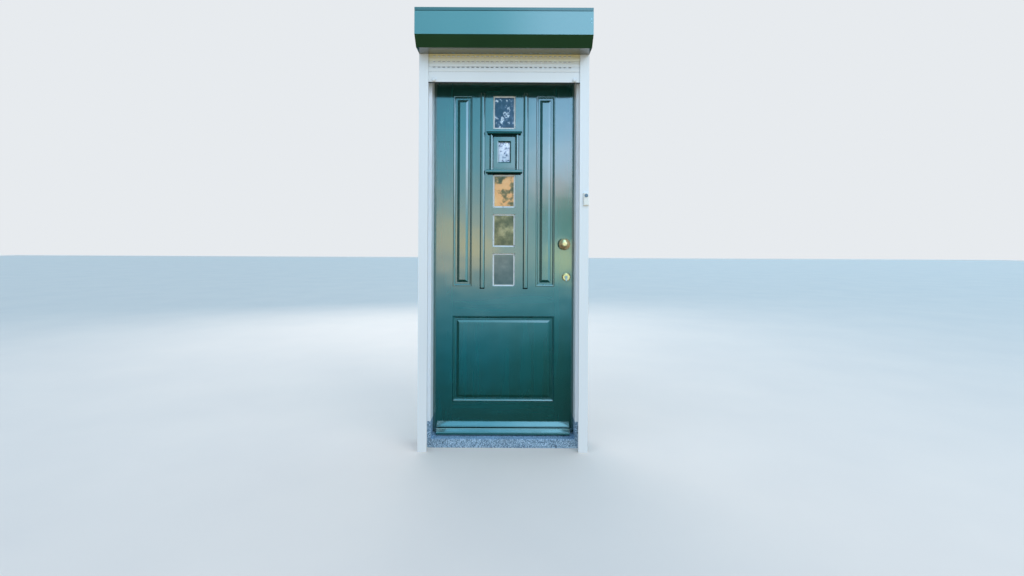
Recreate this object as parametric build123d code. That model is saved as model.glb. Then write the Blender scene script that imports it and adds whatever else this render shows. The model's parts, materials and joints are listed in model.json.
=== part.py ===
from build123d import *
from math import cos, degrees, radians, sin, sqrt
import os

# Panelled front door in its timber frame, on a stone threshold, with a roller shutter in front.
# Millimetres. X runs to the right seen from the street, Y into the house, Z up.
# The origin is the middle of the threshold's underside, at half the depth of the frame.

# Leaf
leaf_width = 880.0
leaf_height = 2150.0
leaf_thickness = 40.0
side_gap = 2.5
stile_width = 132.0
muntin_width = 127.0
pane_width = 135.0
pane_height = 200.0
pane_count = 5
panes_under_hatch_count = 3
bar_height = 39.0
top_rail_height = 111.0
lock_rail_height = 182.0
bottom_rail_height = 182.0
tenon_thickness = 13.0
tenon_length = 60.0
stub_tenon_length = 25.0
tenon_shoulder = 20.0
stop_lip = 12.0
rebate_side = 7.0
groove_depth = 12.0
groove_width = 12.6
tongue_clearance = 0.3
panel_edge_clearance = 1.0
panel_recess = 10.0
shoulder_recess = 3.0
field_recess = 1.5
panel_slope = 12.0
side_bevel = 6.0
bottom_bevel = 33.0
moulding_width = 17.0
moulding_quirk = 1.0
moulding_round = 7.5
moulding_foot = 2.0
half_round_width = 28.0
half_round_proud = 14.0
half_round_overlap = 16.0
glass_thickness = 6.0
glass_edge = 3.0
glass_facet = 19.5
glass_clearance = 1.0
bead_cover = 5.0
bead_chamfer = 7.0

# Frame
stop_lap = 15.0
jamb_width = 67.0
frame_depth = 139.0
frame_back_margin = 1.0
gasket_gap = 3.0
gasket_width = 8.0
gasket_root_width = 3.0
gasket_root_depth = 5.0
threshold_height = 56.0
threshold_fall = 4.0
threshold_edge_radius = 3.0
threshold_gap = 6.0
plinth_top = 156.0
frame_tenon_width = 30.0
frame_tenon_depth = 36.0
frame_tenon_length = 40.0
fixing_radius = 5.5
fixing_count = 4
fixing_first = 480.0
fixing_spacing = 420.0

# Weather bar
weather_bar_end_gap = 25.0
weather_bar_height = 70.0
weather_bar_proud = 75.0
weather_bar_drop = 4.0
weather_bar_fall = 2.0
weather_bar_hood = 10.0
weather_bar_bead = 32.0
weather_bar_bead_rise = 42.0
weather_bar_bead_width = 12.0
weather_bar_slope_rise = 33.0
weather_bar_edge_rise = 24.0
drip_distance = 10.0
drip_width = 6.0
drip_depth = 5.0

# Butt hinges of the leaf
hinge_length = 100.0
hinge_count = 3
hinge_end_distance = 180.0
knuckle_radius = 7.0
knuckle_count = 5
knuckle_gap = 0.4
knuckle_face_gap = 0.5
hinge_pin_radius = 4.0
hinge_fit = 0.05
hinge_flap_thickness = 2.0
hinge_flap_width = 30.0
pin_head_height = 3.0

# Lock, knob and lever
lock_backset = 60.0
lock_rise = 58.0
spindle_rise = 72.0
dead_bolt_rise = 32.0
latch_rise = 32.0
case_thickness = 16.0
case_wall = 0.8
case_reach = 85.0
case_below = 63.0
case_above = 100.0
forend_thickness = 3.0
forend_width = 24.0
forend_extra = 10.0
bolt_height = 24.0
bolt_slack = 0.3
bolt_length = 58.0
latch_length = 48.0
latch_reach = 12.0
latch_nose = 4.0
dead_bolt_throw = 20.0
bolt_pocket_clearance = 6.0
strike_thickness = 2.5
strike_height = 180.0
strike_width = 34.0
strike_play = 1.5
cylinder_radius = 8.5
cylinder_tail_width = 10.0
cylinder_tail_drop = 24.5
cylinder_proud = 11.0
plug_radius = 6.5
plug_fit = 0.05
cam_radius = 15.0
cam_thickness = 9.6
cam_clearance = 0.6
cam_half_width = 4.0
cam_tip_clearance = 0.8
keyway_width = 2.2
keyway_height = 8.0
keyway_depth = 12.0
rose_radius = 26.0
rose_thickness = 9.0
rose_fit = 0.2
rose_edge = 3.0
rose_crown = 1.0
spindle_size = 8.0
follower_radius = 10.0
lever_neck_radius = 9.0
lever_neck_gap = 1.0
lever_rise_from_face = 52.0
lever_length = 125.0
lever_thickness = 16.0
knob_radius = 35.0
knob_depth = 40.0
knob_reach = 62.0
knob_neck_radius = 12.0
knob_neck_flare = 5.0
knob_flat = 4.0
knob_backset = 75.0
knob_rise = 199.0
knob_rose_radius = 24.0
knob_rose_thickness = 6.0
knob_bolt_radius = 5.0
knob_nut_radius = 13.0
knob_nut_thickness = 6.0

# Small opening hatch with its surround
hatch_side_gap = 3.5
hatch_end_gap = 2.0
hatch_recess = 4.0
hatch_lap = 3.0
hatch_back_inset = 1.0
hatch_flange_gap = 1.0
hatch_glass_width = 70.0
hatch_glass_height = 122.0
hatch_glass_thickness = 4.0
hatch_glass_seat = 5.0
hatch_bead_cover = 2.0
hatch_bead_chamfer = 3.0
hatch_step = 6.0
hatch_step_depth = 4.0
hatch_knuckle_radius = 3.5
hatch_pin_radius = 1.5
hatch_hinge_length = 36.0
hatch_hinge_spread = 120.0
hatch_flap_thickness = 1.4
hatch_flap_width = 16.0
hatch_knob_radius = 8.0
hatch_knob_length = 20.0
hatch_knob_foot = 2.0
hatch_knob_neck = 4.0
hatch_knob_edge_distance = 3.0
hatch_axis_offset = 1.0
cornice_half_width = 107.5
cornice_foot_half_width = 95.0
cornice_height = 28.0
cornice_proud = 27.0
cornice_foot_proud = 12.0
cornice_foot_height = 12.5
cornice_slope = 5.0
cornice_gap = 1.0
sill_half_width = 111.0
sill_height = 27.0
sill_proud = 25.0
sill_drop = 9.0
sill_nose_height = 13.5
sill_quirk = 6.0
sill_foot_proud = 4.0
pilaster_width = 16.5
pilaster_proud = 10.0
pilaster_offset = 2.5
pilaster_edge = 2.0

# Roller shutter
packer_depth = 45.0
packer_width = 42.0
rail_width = 53.0
rail_depth = 22.0
rail_wall = 1.6
rail_lap = 1.0
rail_slot = 12.0
box_slot_lip = 12.0
rail_channel = 36.0
brush_clearance = 0.3
brush_height = 6.0
brush_inset = 3.0
box_head_gap = 32.0
box_height = 202.0
box_depth = 180.0
box_chamfer = 55.0
box_sheet = 1.5
lid_flange = 17.0
lid_groove = 3.0
end_plate_thickness = 3.0
spigot_length = 60.0
spigot_clearance = 0.4
slat_pitch = 32.0
slat_thickness = 8.5
slat_wall_bulge = 1.2
slat_joint = 0.4
slat_tongue = 3.0
slat_tongue_height = 4.0
slat_tongue_clearance = 0.3
slat_count = 5
slat_end_clearance = 10.0
end_slat_height = 58.0
curtain_drop = 158.0
end_seal_height = 8.0
end_seal_width = 5.0
end_seal_seat = 3.0
stop_radius = 11.0
stop_neck_radius = 6.0
stop_neck_length = 3.0
stop_back_edge = 1.0
stop_front_edge = 3.0
stop_proud = 12.0
stop_rail_gap = 32.0
stop_rise = 12.0
curtain_rise = 125.0
roll_radius = 80.0
roll_pitch = 8.7
roll_layer = 7.6
roll_start_angle = -24.0
roll_steps_per_turn = 24
roll_rise = 102.0
roll_clearance = 0.6
roll_seat = 0.1
tube_flats = 50.0
tube_wall = 1.2
motor_radius = 22.5
motor_head_radius = 25.5
motor_head_gap = 2.0
motor_length = 520.0
motor_head_length = 24.0
bearing_pin_radius = 6.0
bearing_fit = 0.05
bearing_length = 30.0
idler_length = 40.0

# Bell push on the right guide rail
bell_width = 31.0
bell_height = 76.0
bell_depth = 12.0
bell_bottom = 1426.0
bell_edge_radius = 4.0
bell_button_radius = 10.0
bell_button_proud = 3.5
bell_button_edge = 1.2
bell_button_rise = 57.0
bell_button_clearance = 0.4
bell_button_travel = 2.0
bell_floor = 2.0

# How far a hole's cutting body runs past the faces it opens
overshoot = 1.0

# Places that follow from the sizes above
half_leaf = leaf_width / 2
leaf_back = frame_depth / 2 - frame_back_margin
leaf_front = leaf_back - leaf_thickness
leaf_middle = (leaf_front + leaf_back) / 2
leaf_bottom = threshold_height + threshold_gap
leaf_top = leaf_bottom + leaf_height
stop_back = leaf_front - gasket_gap
frame_front = -frame_depth / 2
frame_back = frame_depth / 2
daylight_half = half_leaf - stop_lap
rebate_half = half_leaf + side_gap
frame_half = daylight_half + jamb_width
soffit = leaf_top - stop_lap
head_rebate_top = leaf_top + side_gap
head_top = soffit + jamb_width

half_pane = pane_width / 2
muntin_outer = half_pane + muntin_width
stile_inner = half_leaf - stile_width
bottom_rail_top = leaf_bottom + bottom_rail_height
lattice_height = pane_count * pane_height + (pane_count - 1) * bar_height
top_rail_bottom = leaf_top - top_rail_height
lock_rail_top = top_rail_bottom - lattice_height
lock_rail_bottom = lock_rail_top - lock_rail_height
glazing_front = leaf_front + stop_lip
rebate_half_pane = half_pane + rebate_side
pane_bottoms = [lock_rail_top + place * (pane_height + bar_height) for place in range(pane_count)]
hatch_bottom = pane_bottoms[panes_under_hatch_count]
hatch_top = hatch_bottom + pane_height
hatch_middle = (hatch_bottom + hatch_top) / 2

rail_outer = daylight_half + jamb_width - rail_lap
rail_inner = rail_outer - rail_width
rail_back = frame_front - packer_depth
rail_front = rail_back - rail_depth
curtain_middle = (rail_front + rail_back) / 2
slat_front = curtain_middle - slat_thickness / 2
slat_back = curtain_middle + slat_thickness / 2
curtain_half = rail_inner + rail_channel - slat_end_clearance
stop_x = rail_inner - stop_rail_gap
box_bottom = head_top + box_head_gap
end_slat_bottom = box_bottom - curtain_drop
roll_height = box_bottom + roll_rise
box_front = rail_back - box_depth
box_top = box_bottom + box_height
roll_back_turn = 1 - (roll_start_angle + degrees(curtain_rise / roll_radius)) / 360
roll_back_radius = roll_radius - roll_pitch * roll_back_turn
roll_middle = slat_front - roll_clearance - roll_back_radius
tube_corner = tube_flats / 2 / cos(radians(22.5))
roll_turns = (roll_radius - roll_layer - tube_corner - roll_seat) / roll_pitch
roll_end_angle = roll_start_angle + 360 * roll_turns

lock_x = half_leaf - lock_backset
knob_x = half_leaf - knob_backset
cylinder_height = lock_rail_top + lock_rise
knob_height = cylinder_height + knob_rise
spindle_height = cylinder_height + spindle_rise
dead_bolt_height = cylinder_height + dead_bolt_rise
latch_height = spindle_height + latch_rise
bolt_pocket_depth = dead_bolt_throw + bolt_pocket_clearance
hinge_axis_x = -(half_leaf + rebate_half) / 2
hinge_axis_y = frame_back + knuckle_face_gap + knuckle_radius
hatch_axis_x = hatch_axis_offset - rebate_half_pane
hatch_axis_y = leaf_back + knuckle_face_gap + hatch_knuckle_radius


def block(x, y, z):
    middle = [(low + high) / 2 for low, high in (x, y, z)]
    size = [high - low for low, high in (x, y, z)]
    return Pos(*middle) * Box(*size)


def rod(radius, start, end):
    # A round bar between two points that differ along one axis only.
    first, last = Vector(*start), Vector(*end)
    axis = last - first
    plane = Plane(origin=first, z_dir=axis)
    return extrude(plane * Circle(radius), axis.length)


def along_x(points, x):
    # A bar whose section is given in Y and Z.
    section = Plane.YZ.offset(x[0]) * make_face(Polyline(*points, close=True))
    return extrude(section, x[1] - x[0])


def along_z(points, z):
    section = Plane.XY.offset(z[0]) * make_face(Polyline(*points, close=True))
    return extrude(section, z[1] - z[0])


def both_sides(piece):
    return [piece, mirror(piece, about=Plane.YZ)]


def all_cut(piece, tools):
    for tool in tools:
        piece = piece - tool
    return piece


def group(pieces):
    solids = []
    for piece in pieces:
        solids.extend(piece.solids())
    return Compound(children=solids)


def turned(points, x, z, face, outward):
    # A piece turned about a line along Y; points give radius and distance from the face.
    outline = make_face(Polyline(*points, close=True))
    piece = revolve(outline, Axis.Y)
    if outward < 0:
        piece = mirror(piece, about=Plane.XZ)
    return Pos(x, face, z) * piece


def tapered_field(outer, inner, base, top):
    # The raised middle of a panel or the facet of a bevelled pane, between two rectangles in X and Z.
    faces = []
    for (x0, x1, z0, z1), depth in ((outer, base), (inner, top)):
        plane = Plane.XZ.offset(-depth)
        faces.append(plane * Pos((x0 + x1) / 2, (z0 + z1) / 2) * Rectangle(x1 - x0, z1 - z0))
    return loft(faces, ruled=True)


def grown(rectangle, margin):
    x0, x1, z0, z1 = rectangle
    return (x0 - margin, x1 + margin, z0 - margin, z1 + margin)


def mitred_frame(rectangle, face, outward, section, reach):
    # Four lengths round an opening, mitred at the corners. The section is drawn with X pointing
    # into the opening and Y away from the door's face; reach is more than its width.
    x0, x1, z0, z1 = rectangle
    lengths = []
    wide, tall = x1 - x0, z1 - z0
    corners = [
        ((x0, z0), (1, 0), (0, 1), wide),
        ((x1, z0), (0, 1), (-1, 0), tall),
        ((x1, z1), (-1, 0), (0, -1), wide),
        ((x0, z1), (0, -1), (1, 0), tall),
    ]
    for (cx, cz), (ax, az), (ix, iz), run in corners:
        plane = Plane(origin=(cx, face, cz), x_dir=(ix, 0, iz), z_dir=(ax * 1.0, 0, az * 1.0))
        drawn = section if plane.y_dir.Y * outward > 0 else mirror(section, about=Plane.XZ)
        start = plane.offset(-reach)
        bar = extrude(start * drawn, run + 2 * reach)
        wedge = make_face(
            Polyline(
                (cx - (ax + ix) * reach, cz - (az + iz) * reach),
                (cx + (ix + ax) * reach, cz + (iz + az) * reach),
                (cx + ax * (run - reach) + ix * reach, cz + az * (run - reach) + iz * reach),
                (cx + ax * (run + reach) - ix * reach, cz + az * (run + reach) - iz * reach),
                close=True,
            )
        )
        limit = extrude(Plane.XZ.offset(-face) * wedge, 2 * reach, both=True)
        lengths.append(bar & limit)
    return lengths


def side_opening():
    return (muntin_outer, stile_inner, lock_rail_top, top_rail_bottom)


def mirrored(rectangle):
    x0, x1, z0, z1 = rectangle
    return (-x1, -x0, z0, z1)


def bottom_opening():
    return (-stile_inner, stile_inner, bottom_rail_top, lock_rail_bottom)


def panel_openings():
    return [side_opening(), mirrored(side_opening()), bottom_opening()]


def pane_opening(place):
    bottom = pane_bottoms[place]
    return (-half_pane, half_pane, bottom, bottom + pane_height)


def glazed_places():
    return [place for place in range(pane_count) if place != panes_under_hatch_count]


def threshold_stone():
    front, back = frame_front, frame_back
    low = threshold_height - threshold_fall
    outline = [(front, 0), (back, 0), (back, threshold_height), (stop_back, threshold_height), (front, low)]
    stone = along_x(outline, (-frame_half, frame_half))
    edge = stone.edges().filter_by(Axis.X).sort_by(Axis.Y)[0:2].sort_by(Axis.Z)[-1]
    return fillet(edge, threshold_edge_radius)


def jamb_section(z):
    outline = [
        (daylight_half, frame_front),
        (frame_half, frame_front),
        (frame_half, frame_back),
        (rebate_half, frame_back),
        (rebate_half, stop_back),
        (daylight_half, stop_back),
    ]
    return along_z(outline, z)


def plinth_block():
    low = threshold_height - threshold_fall - threshold_edge_radius
    return jamb_section((low, plinth_top)) - threshold_stone()


def frame_tenon():
    middle = (daylight_half + frame_half) / 2
    x = (middle - frame_tenon_width / 2, middle + frame_tenon_width / 2)
    y_middle = (frame_front + stop_back) / 2
    y = (y_middle - frame_tenon_depth / 2, y_middle + frame_tenon_depth / 2)
    return block(x, y, (soffit, soffit + frame_tenon_length))


def gasket_groove():
    # One groove in the stop's rear face, up both jambs and across the head.
    middle = daylight_half + stop_lap / 2
    top = soffit + stop_lap / 2
    half = gasket_root_width / 2
    depth = (stop_back - gasket_root_depth, stop_back)
    outer = block((-middle - half, middle + half), depth, (plinth_top, top + half))
    inner = block((-middle + half, middle - half), depth, (plinth_top, top - half))
    return outer - inner


def frame_gasket():
    middle = daylight_half + stop_lap / 2
    top = soffit + stop_lap / 2
    half = gasket_width / 2 - side_gap / 2
    lip = (stop_back, leaf_front - brush_clearance)
    outer = block((-middle - half, middle + half), lip, (plinth_top, top + half))
    inner = block((-middle + half, middle - half), lip, (plinth_top, top - half))
    return (outer - inner) + gasket_groove()


def fixing_holes():
    # Holes behind the leaf's edge for the screws that fix the frame to a wall.
    x = (rebate_half - overshoot, frame_half + overshoot)
    heights = [fixing_first + place * fixing_spacing for place in range(fixing_count)]
    return [rod(fixing_radius, (x[0], leaf_middle, z), (x[1], leaf_middle, z)) for z in heights]


def plain_jamb():
    jamb = jamb_section((plinth_top, soffit)) + frame_tenon()
    return all_cut(jamb, [gasket_groove()] + fixing_holes())


def left_jamb():
    return all_cut(mirror(plain_jamb(), about=Plane.YZ), frame_flap_seats())


def right_jamb():
    return all_cut(plain_jamb(), [strike_seat()] + strike_pockets())


def frame_head():
    whole = block((-frame_half, frame_half), (frame_front, frame_back), (soffit, head_top))
    rebate = block((-rebate_half, rebate_half), (stop_back, frame_back), (soffit, head_rebate_top))
    return all_cut(whole, [rebate, gasket_groove()] + both_sides(frame_tenon()))


def bolt_heights():
    return [dead_bolt_height, latch_height]


def strike_middle():
    return sum(bolt_heights()) / 2


def strike_outline():
    half = strike_height / 2
    near = leaf_middle - strike_width / 2
    return (near, frame_back), (strike_middle() - half, strike_middle() + half)


def strike_seat():
    y, z = strike_outline()
    return block((rebate_half, rebate_half + strike_thickness), y, z)


def bolt_window(height, x):
    half_y = case_thickness / 2 - case_wall + strike_play
    half_z = bolt_height / 2 + strike_play
    return block(x, (leaf_middle - half_y, leaf_middle + half_y), (height - half_z, height + half_z))


def strike_pockets():
    return [bolt_window(height, (rebate_half, rebate_half + bolt_pocket_depth)) for height in bolt_heights()]


def strike_plate():
    return all_cut(strike_seat(), strike_pockets())


def hinge_bottoms():
    first = leaf_bottom + hinge_end_distance
    last = leaf_top - hinge_end_distance - hinge_length
    step = (last - first) / (hinge_count - 1)
    return [first + place * step for place in range(hinge_count)]


def knuckle_spans(bottom, length, own):
    # The knuckles of one flap; even places belong to the fixed flap, odd ones to the moving flap.
    step = length / knuckle_count
    spans = []
    for place in range(knuckle_count):
        if place % 2 == own:
            low = bottom + place * step + (knuckle_gap / 2 if place else 0)
            high = bottom + (place + 1) * step - (knuckle_gap / 2 if place < knuckle_count - 1 else 0)
            spans.append((low, high))
    return spans


def flap_plate(x, bottom):
    y = (frame_back - hinge_flap_width - frame_back_margin, frame_back)
    return block(x, y, (bottom, bottom + hinge_length))


def hinge_side(x, bottom, own):
    flap = flap_plate(x, bottom)
    for low, high in knuckle_spans(bottom, hinge_length, own):
        flap += block(x, (frame_back, hinge_axis_y), (low, high))
        flap += rod(knuckle_radius, (hinge_axis_x, hinge_axis_y, low), (hinge_axis_x, hinge_axis_y, high))
    bore_radius = hinge_pin_radius + hinge_fit
    low_end = (hinge_axis_x, hinge_axis_y, bottom)
    return flap - rod(bore_radius, low_end, (hinge_axis_x, hinge_axis_y, bottom + hinge_length))


def frame_flap_x():
    return (-rebate_half - hinge_flap_thickness, -rebate_half)


def door_flap_x():
    return (-half_leaf, -half_leaf + hinge_flap_thickness)


def frame_flap_seats():
    return [flap_plate(frame_flap_x(), bottom) for bottom in hinge_bottoms()]


def door_flap_seats():
    return [flap_plate(door_flap_x(), bottom) for bottom in hinge_bottoms()]


def frame_hinge_leaves():
    return group([hinge_side(frame_flap_x(), bottom, 0) for bottom in hinge_bottoms()])


def door_hinge_leaves():
    return group([hinge_side(door_flap_x(), bottom, 1) for bottom in hinge_bottoms()])


def hinge_pins():
    pins = []
    for bottom in hinge_bottoms():
        top = bottom + hinge_length
        foot = (hinge_axis_x, hinge_axis_y, bottom)
        head = (hinge_axis_x, hinge_axis_y, top)
        cap = (hinge_axis_x, hinge_axis_y, top + pin_head_height)
        pins.append(rod(hinge_pin_radius, foot, head) + rod(knuckle_radius, head, cap))
    return group(pins)


def panel_grooves():
    half = groove_width / 2
    depth = (leaf_middle - half, leaf_middle + half)
    grooves = []
    for rectangle in panel_openings():
        x0, x1, z0, z1 = grown(rectangle, groove_depth)
        grooves.append(block((x0, x1), depth, (z0, z1)))
    return grooves


def glazing_rebate():
    z = (lock_rail_top - rebate_side, top_rail_bottom + rebate_side)
    return block((-rebate_half_pane, rebate_half_pane), (glazing_front, leaf_back), z)


def rail_tenon(low, high):
    # Both tenons of a rail in one bar, from one stile's mortise to the other's.
    reach = stile_inner + tenon_length
    half = tenon_thickness / 2
    z = (low + tenon_shoulder, high - tenon_shoulder)
    return block((-reach, reach), (leaf_middle - half, leaf_middle + half), z)


def rail_tenons():
    return [
        rail_tenon(leaf_bottom, bottom_rail_top),
        rail_tenon(lock_rail_bottom, lock_rail_top),
        rail_tenon(top_rail_bottom, leaf_top),
    ]


def stub_tenons():
    # The muntin's tenon, from the lock rail's mortise to the top rail's.
    half = tenon_thickness / 2
    x = (half_pane + tenon_shoulder, muntin_outer - tenon_shoulder)
    z = (lock_rail_top - stub_tenon_length, top_rail_bottom + stub_tenon_length)
    return block(x, (leaf_middle - half, leaf_middle + half), z)


def rail(low, high):
    body = block((-stile_inner, stile_inner), (leaf_front, leaf_back), (low, high)) + rail_tenon(low, high)
    return all_cut(body, panel_grooves() + [glazing_rebate()] + both_sides(stub_tenons()))


def top_rail():
    return rail(top_rail_bottom, leaf_top)


def lock_rail():
    return rail(lock_rail_bottom, lock_rail_top)


def bottom_rail():
    return rail(leaf_bottom, bottom_rail_top)


def stile():
    body = block((stile_inner, half_leaf), (leaf_front, leaf_back), (leaf_bottom, leaf_top))
    return all_cut(body, panel_grooves() + rail_tenons())


def hinge_stile():
    return all_cut(mirror(stile(), about=Plane.YZ), door_flap_seats())


def lock_stile():
    through = (leaf_front - overshoot, leaf_back + overshoot)
    spindle_end = (lock_x, through[1], spindle_height)
    spindle_hole = rod(follower_radius, (lock_x, leaf_middle, spindle_height), spindle_end)
    bolt_end = (knob_x, through[1], knob_height)
    bolt_hole = rod(knob_bolt_radius, (knob_x, through[0], knob_height), bolt_end)
    cylinder_hole = cylinder_body(through, rose_fit)
    return all_cut(stile(), [case_space(), forend(), spindle_hole, bolt_hole, cylinder_hole])


def right_muntin():
    body = block((half_pane, muntin_outer), (leaf_front, leaf_back), (lock_rail_top, top_rail_bottom))
    return all_cut(body + stub_tenons(), panel_grooves() + [glazing_rebate()])


def left_muntin():
    return mirror(right_muntin(), about=Plane.YZ)


def glazing_bars():
    bars = []
    for bottom in pane_bottoms[1:]:
        low = bottom - bar_height
        front = block((-half_pane, half_pane), (leaf_front, glazing_front), (low, bottom))
        z = (low + rebate_side, bottom - rebate_side)
        bars.append(front + block((-rebate_half_pane, rebate_half_pane), (glazing_front, leaf_back), z))
    return group(bars)


def fielded_panel(rectangle, bevel):
    # A tongued edge, a slope that rises to a shoulder, and a shallow bevel up to the flat field.
    edge = grown(rectangle, -panel_edge_clearance)
    tongue = grown(rectangle, groove_depth - panel_edge_clearance)
    foot = grown(rectangle, -moulding_width)
    shoulder = grown(foot, -panel_slope)
    field = grown(shoulder, -bevel)
    half = groove_width / 2 - tongue_clearance
    panel = block(tongue[0:2], (leaf_middle - half, leaf_middle + half), tongue[2:4])
    panel += block(edge[0:2], (leaf_front + panel_recess, leaf_back - panel_recess), edge[2:4])
    for face, inward in ((leaf_front, 1), (leaf_back, -1)):
        levels = [face + inward * depth for depth in (panel_recess, shoulder_recess, field_recess)]
        panel += tapered_field(foot, shoulder, levels[0], levels[1])
        panel += tapered_field(shoulder, field, levels[1], levels[2])
    return panel


def right_panel():
    return fielded_panel(side_opening(), side_bevel)


def left_panel():
    return fielded_panel(mirrored(side_opening()), side_bevel)


def bottom_panel():
    return fielded_panel(bottom_opening(), bottom_bevel)


def ovolo_section():
    # A quarter round below the stile's face, with a flat foot that runs on to the panel.
    wide, deep = moulding_width, panel_recess
    foot = moulding_foot - deep
    start, end = (moulding_quirk, -moulding_quirk), (moulding_quirk + moulding_round, foot)
    outline = Polyline((0, -moulding_quirk), (0, -deep), (wide, -deep), (wide, foot), end)
    outline += RadiusArc(end, start, -moulding_round)
    outline += Line(start, (0, -moulding_quirk))
    return make_face(outline)


def panel_mouldings():
    lengths = []
    for rectangle in panel_openings():
        for face, outward in ((leaf_front, -1), (leaf_back, 1)):
            lengths += mitred_frame(rectangle, face, outward, ovolo_section(), moulding_width * 2)
    return group(lengths)


def half_rounds():
    middle = half_pane + muntin_width / 2
    half = half_round_width / 2
    z = (lock_rail_top - half_round_overlap, top_rail_bottom + half_round_overlap)
    outline = Line((-half, 0), (half, 0)) + ThreePointArc((half, 0), (0, -half_round_proud), (-half, 0))
    section = Plane.XY.offset(z[0]) * Pos(middle, leaf_front) * make_face(outline)
    return group(both_sides(extrude(section, z[1] - z[0])))


def glass_pane(rectangle):
    # A bevelled pane whose facet just clears the edge of the stop.
    edge = grown(rectangle, rebate_side - glass_clearance)
    flat = grown(edge, -glass_facet)
    seat_slope = (glass_thickness - glass_edge) / glass_facet
    front = glazing_front - seat_slope * (glass_facet - rebate_side + glass_clearance)
    shoulder = front + glass_thickness - glass_edge
    plate = block(edge[0:2], (shoulder, front + glass_thickness), edge[2:4])
    return plate + tapered_field(edge, flat, shoulder, front), front + glass_thickness


def glass_panes():
    return group([glass_pane(pane_opening(place))[0] for place in glazed_places()])


def glazing_beads():
    lengths = []
    for place in glazed_places():
        deep = leaf_back - glass_pane(pane_opening(place))[1]
        wide = rebate_side + bead_cover
        outline = [(0, 0), (0, -deep), (wide, -deep), (wide, -bead_chamfer), (wide - bead_chamfer, 0)]
        section = make_face(Polyline(*outline, close=True))
        wall = grown(pane_opening(place), rebate_side)
        lengths += mitred_frame(wall, leaf_back, 1, section, wide * 2)
    return group(lengths)


def weather_bar():
    # A sloping hood, a bead, a fillet and a long slope to an upright lip with a drip groove under it.
    low = leaf_bottom - weather_bar_drop
    top = low + weather_bar_height
    hood = leaf_front - weather_bar_hood
    bead = leaf_front - weather_bar_bead
    bead_middle = low + weather_bar_bead_rise
    bead_low, bead_high = bead_middle - weather_bar_bead_width / 2, bead_middle + weather_bar_bead_width / 2
    bead_back = bead + weather_bar_bead_width / 3
    lip = leaf_front - weather_bar_proud
    slope_top, lip_top = low + weather_bar_slope_rise, low + weather_bar_edge_rise
    drip = lip + drip_distance, lip + drip_distance + drip_width
    outline = Polyline((leaf_front, top), (hood, top - weather_bar_fall), (bead_back, bead_high))
    outline += ThreePointArc((bead_back, bead_high), (bead, bead_middle), (bead_back, bead_low))
    outline += Polyline((bead_back, bead_low), (bead_back, slope_top), (lip, lip_top), (lip, low))
    outline += Polyline(
        (lip, low), (drip[0], low), (drip[0], low + drip_depth), (drip[1], low + drip_depth),
        (drip[1], low), (hood, low), (leaf_front, leaf_bottom), (leaf_front, top)
    )
    half = daylight_half - weather_bar_end_gap
    return extrude(Plane.YZ.offset(-half) * make_face(outline), 2 * half)


def cylinder_body(y, margin=0.0):
    # A profile cylinder: a round barrel with a flat tail below it.
    barrel = rod(cylinder_radius + margin, (lock_x, y[0], cylinder_height), (lock_x, y[1], cylinder_height))
    half = cylinder_tail_width / 2 + margin
    low = cylinder_height - cylinder_tail_drop - margin
    tail = block((lock_x - half, lock_x + half), y, (low + half, cylinder_height))
    foot = rod(half, (lock_x, y[0], low + half), (lock_x, y[1], low + half))
    return barrel + tail + foot


def case_span():
    return (cylinder_height - case_below, spindle_height + case_above)


def case_space():
    half = case_thickness / 2
    x = (half_leaf - case_reach - forend_thickness, half_leaf - forend_thickness)
    return block(x, (leaf_middle - half, leaf_middle + half), case_span())


def forend():
    low, high = case_span()
    y = (leaf_middle - forend_width / 2, leaf_middle + forend_width / 2)
    return block((half_leaf - forend_thickness, half_leaf), y, (low - forend_extra, high + forend_extra))


def bolt_bar(height, x, margin=0.0):
    half_y = case_thickness / 2 - case_wall - bolt_slack + margin
    half_z = bolt_height / 2 + margin
    return block(x, (leaf_middle - half_y, leaf_middle + half_y), (height - half_z, height + half_z))


def cam_pocket():
    half = cam_thickness / 2 + cam_clearance
    start, end = leaf_middle - half, leaf_middle + half
    radius = cam_radius + cam_clearance
    return rod(radius, (lock_x, start, cylinder_height), (lock_x, end, cylinder_height))


def lock_case():
    through = (leaf_middle - case_thickness, leaf_middle + case_thickness)
    dead_back = half_leaf - bolt_length - bolt_slack
    dead_channel = bolt_bar(dead_bolt_height, (dead_back, half_leaf), bolt_slack)
    back = half_leaf - latch_length - latch_reach - bolt_slack
    latch_channel = bolt_bar(latch_height, (back, half_leaf), bolt_slack)
    radius = follower_radius + cam_clearance
    follower_hole = rod(radius, (lock_x, leaf_middle - case_thickness / 2 + case_wall, spindle_height),
                        (lock_x, through[1], spindle_height))
    tools = [dead_channel, latch_channel, follower_hole, cam_pocket(), cylinder_body(through)]
    return all_cut(case_space() + forend(), tools)


def dead_bolt():
    return bolt_bar(dead_bolt_height, (half_leaf - bolt_length, half_leaf))


def latch_bolt():
    tip = half_leaf + latch_reach
    bolt = bolt_bar(latch_height, (half_leaf - latch_length, tip))
    half = case_thickness / 2
    corner = leaf_middle - half
    bevel = [(tip, corner), (tip, leaf_middle + half - latch_nose), (tip - latch_reach, corner)]
    return bolt - along_z(bevel, (latch_height - bolt_height, latch_height + bolt_height))


def cylinder_span():
    return (leaf_front - cylinder_proud, leaf_back + cylinder_proud)


def plug_bore(radius):
    y = cylinder_span()
    return rod(radius, (lock_x, y[0], cylinder_height), (lock_x, y[1], cylinder_height))


def lock_cylinder():
    return all_cut(cylinder_body(cylinder_span()), [plug_bore(plug_radius + plug_fit), cam_pocket()])


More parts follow.
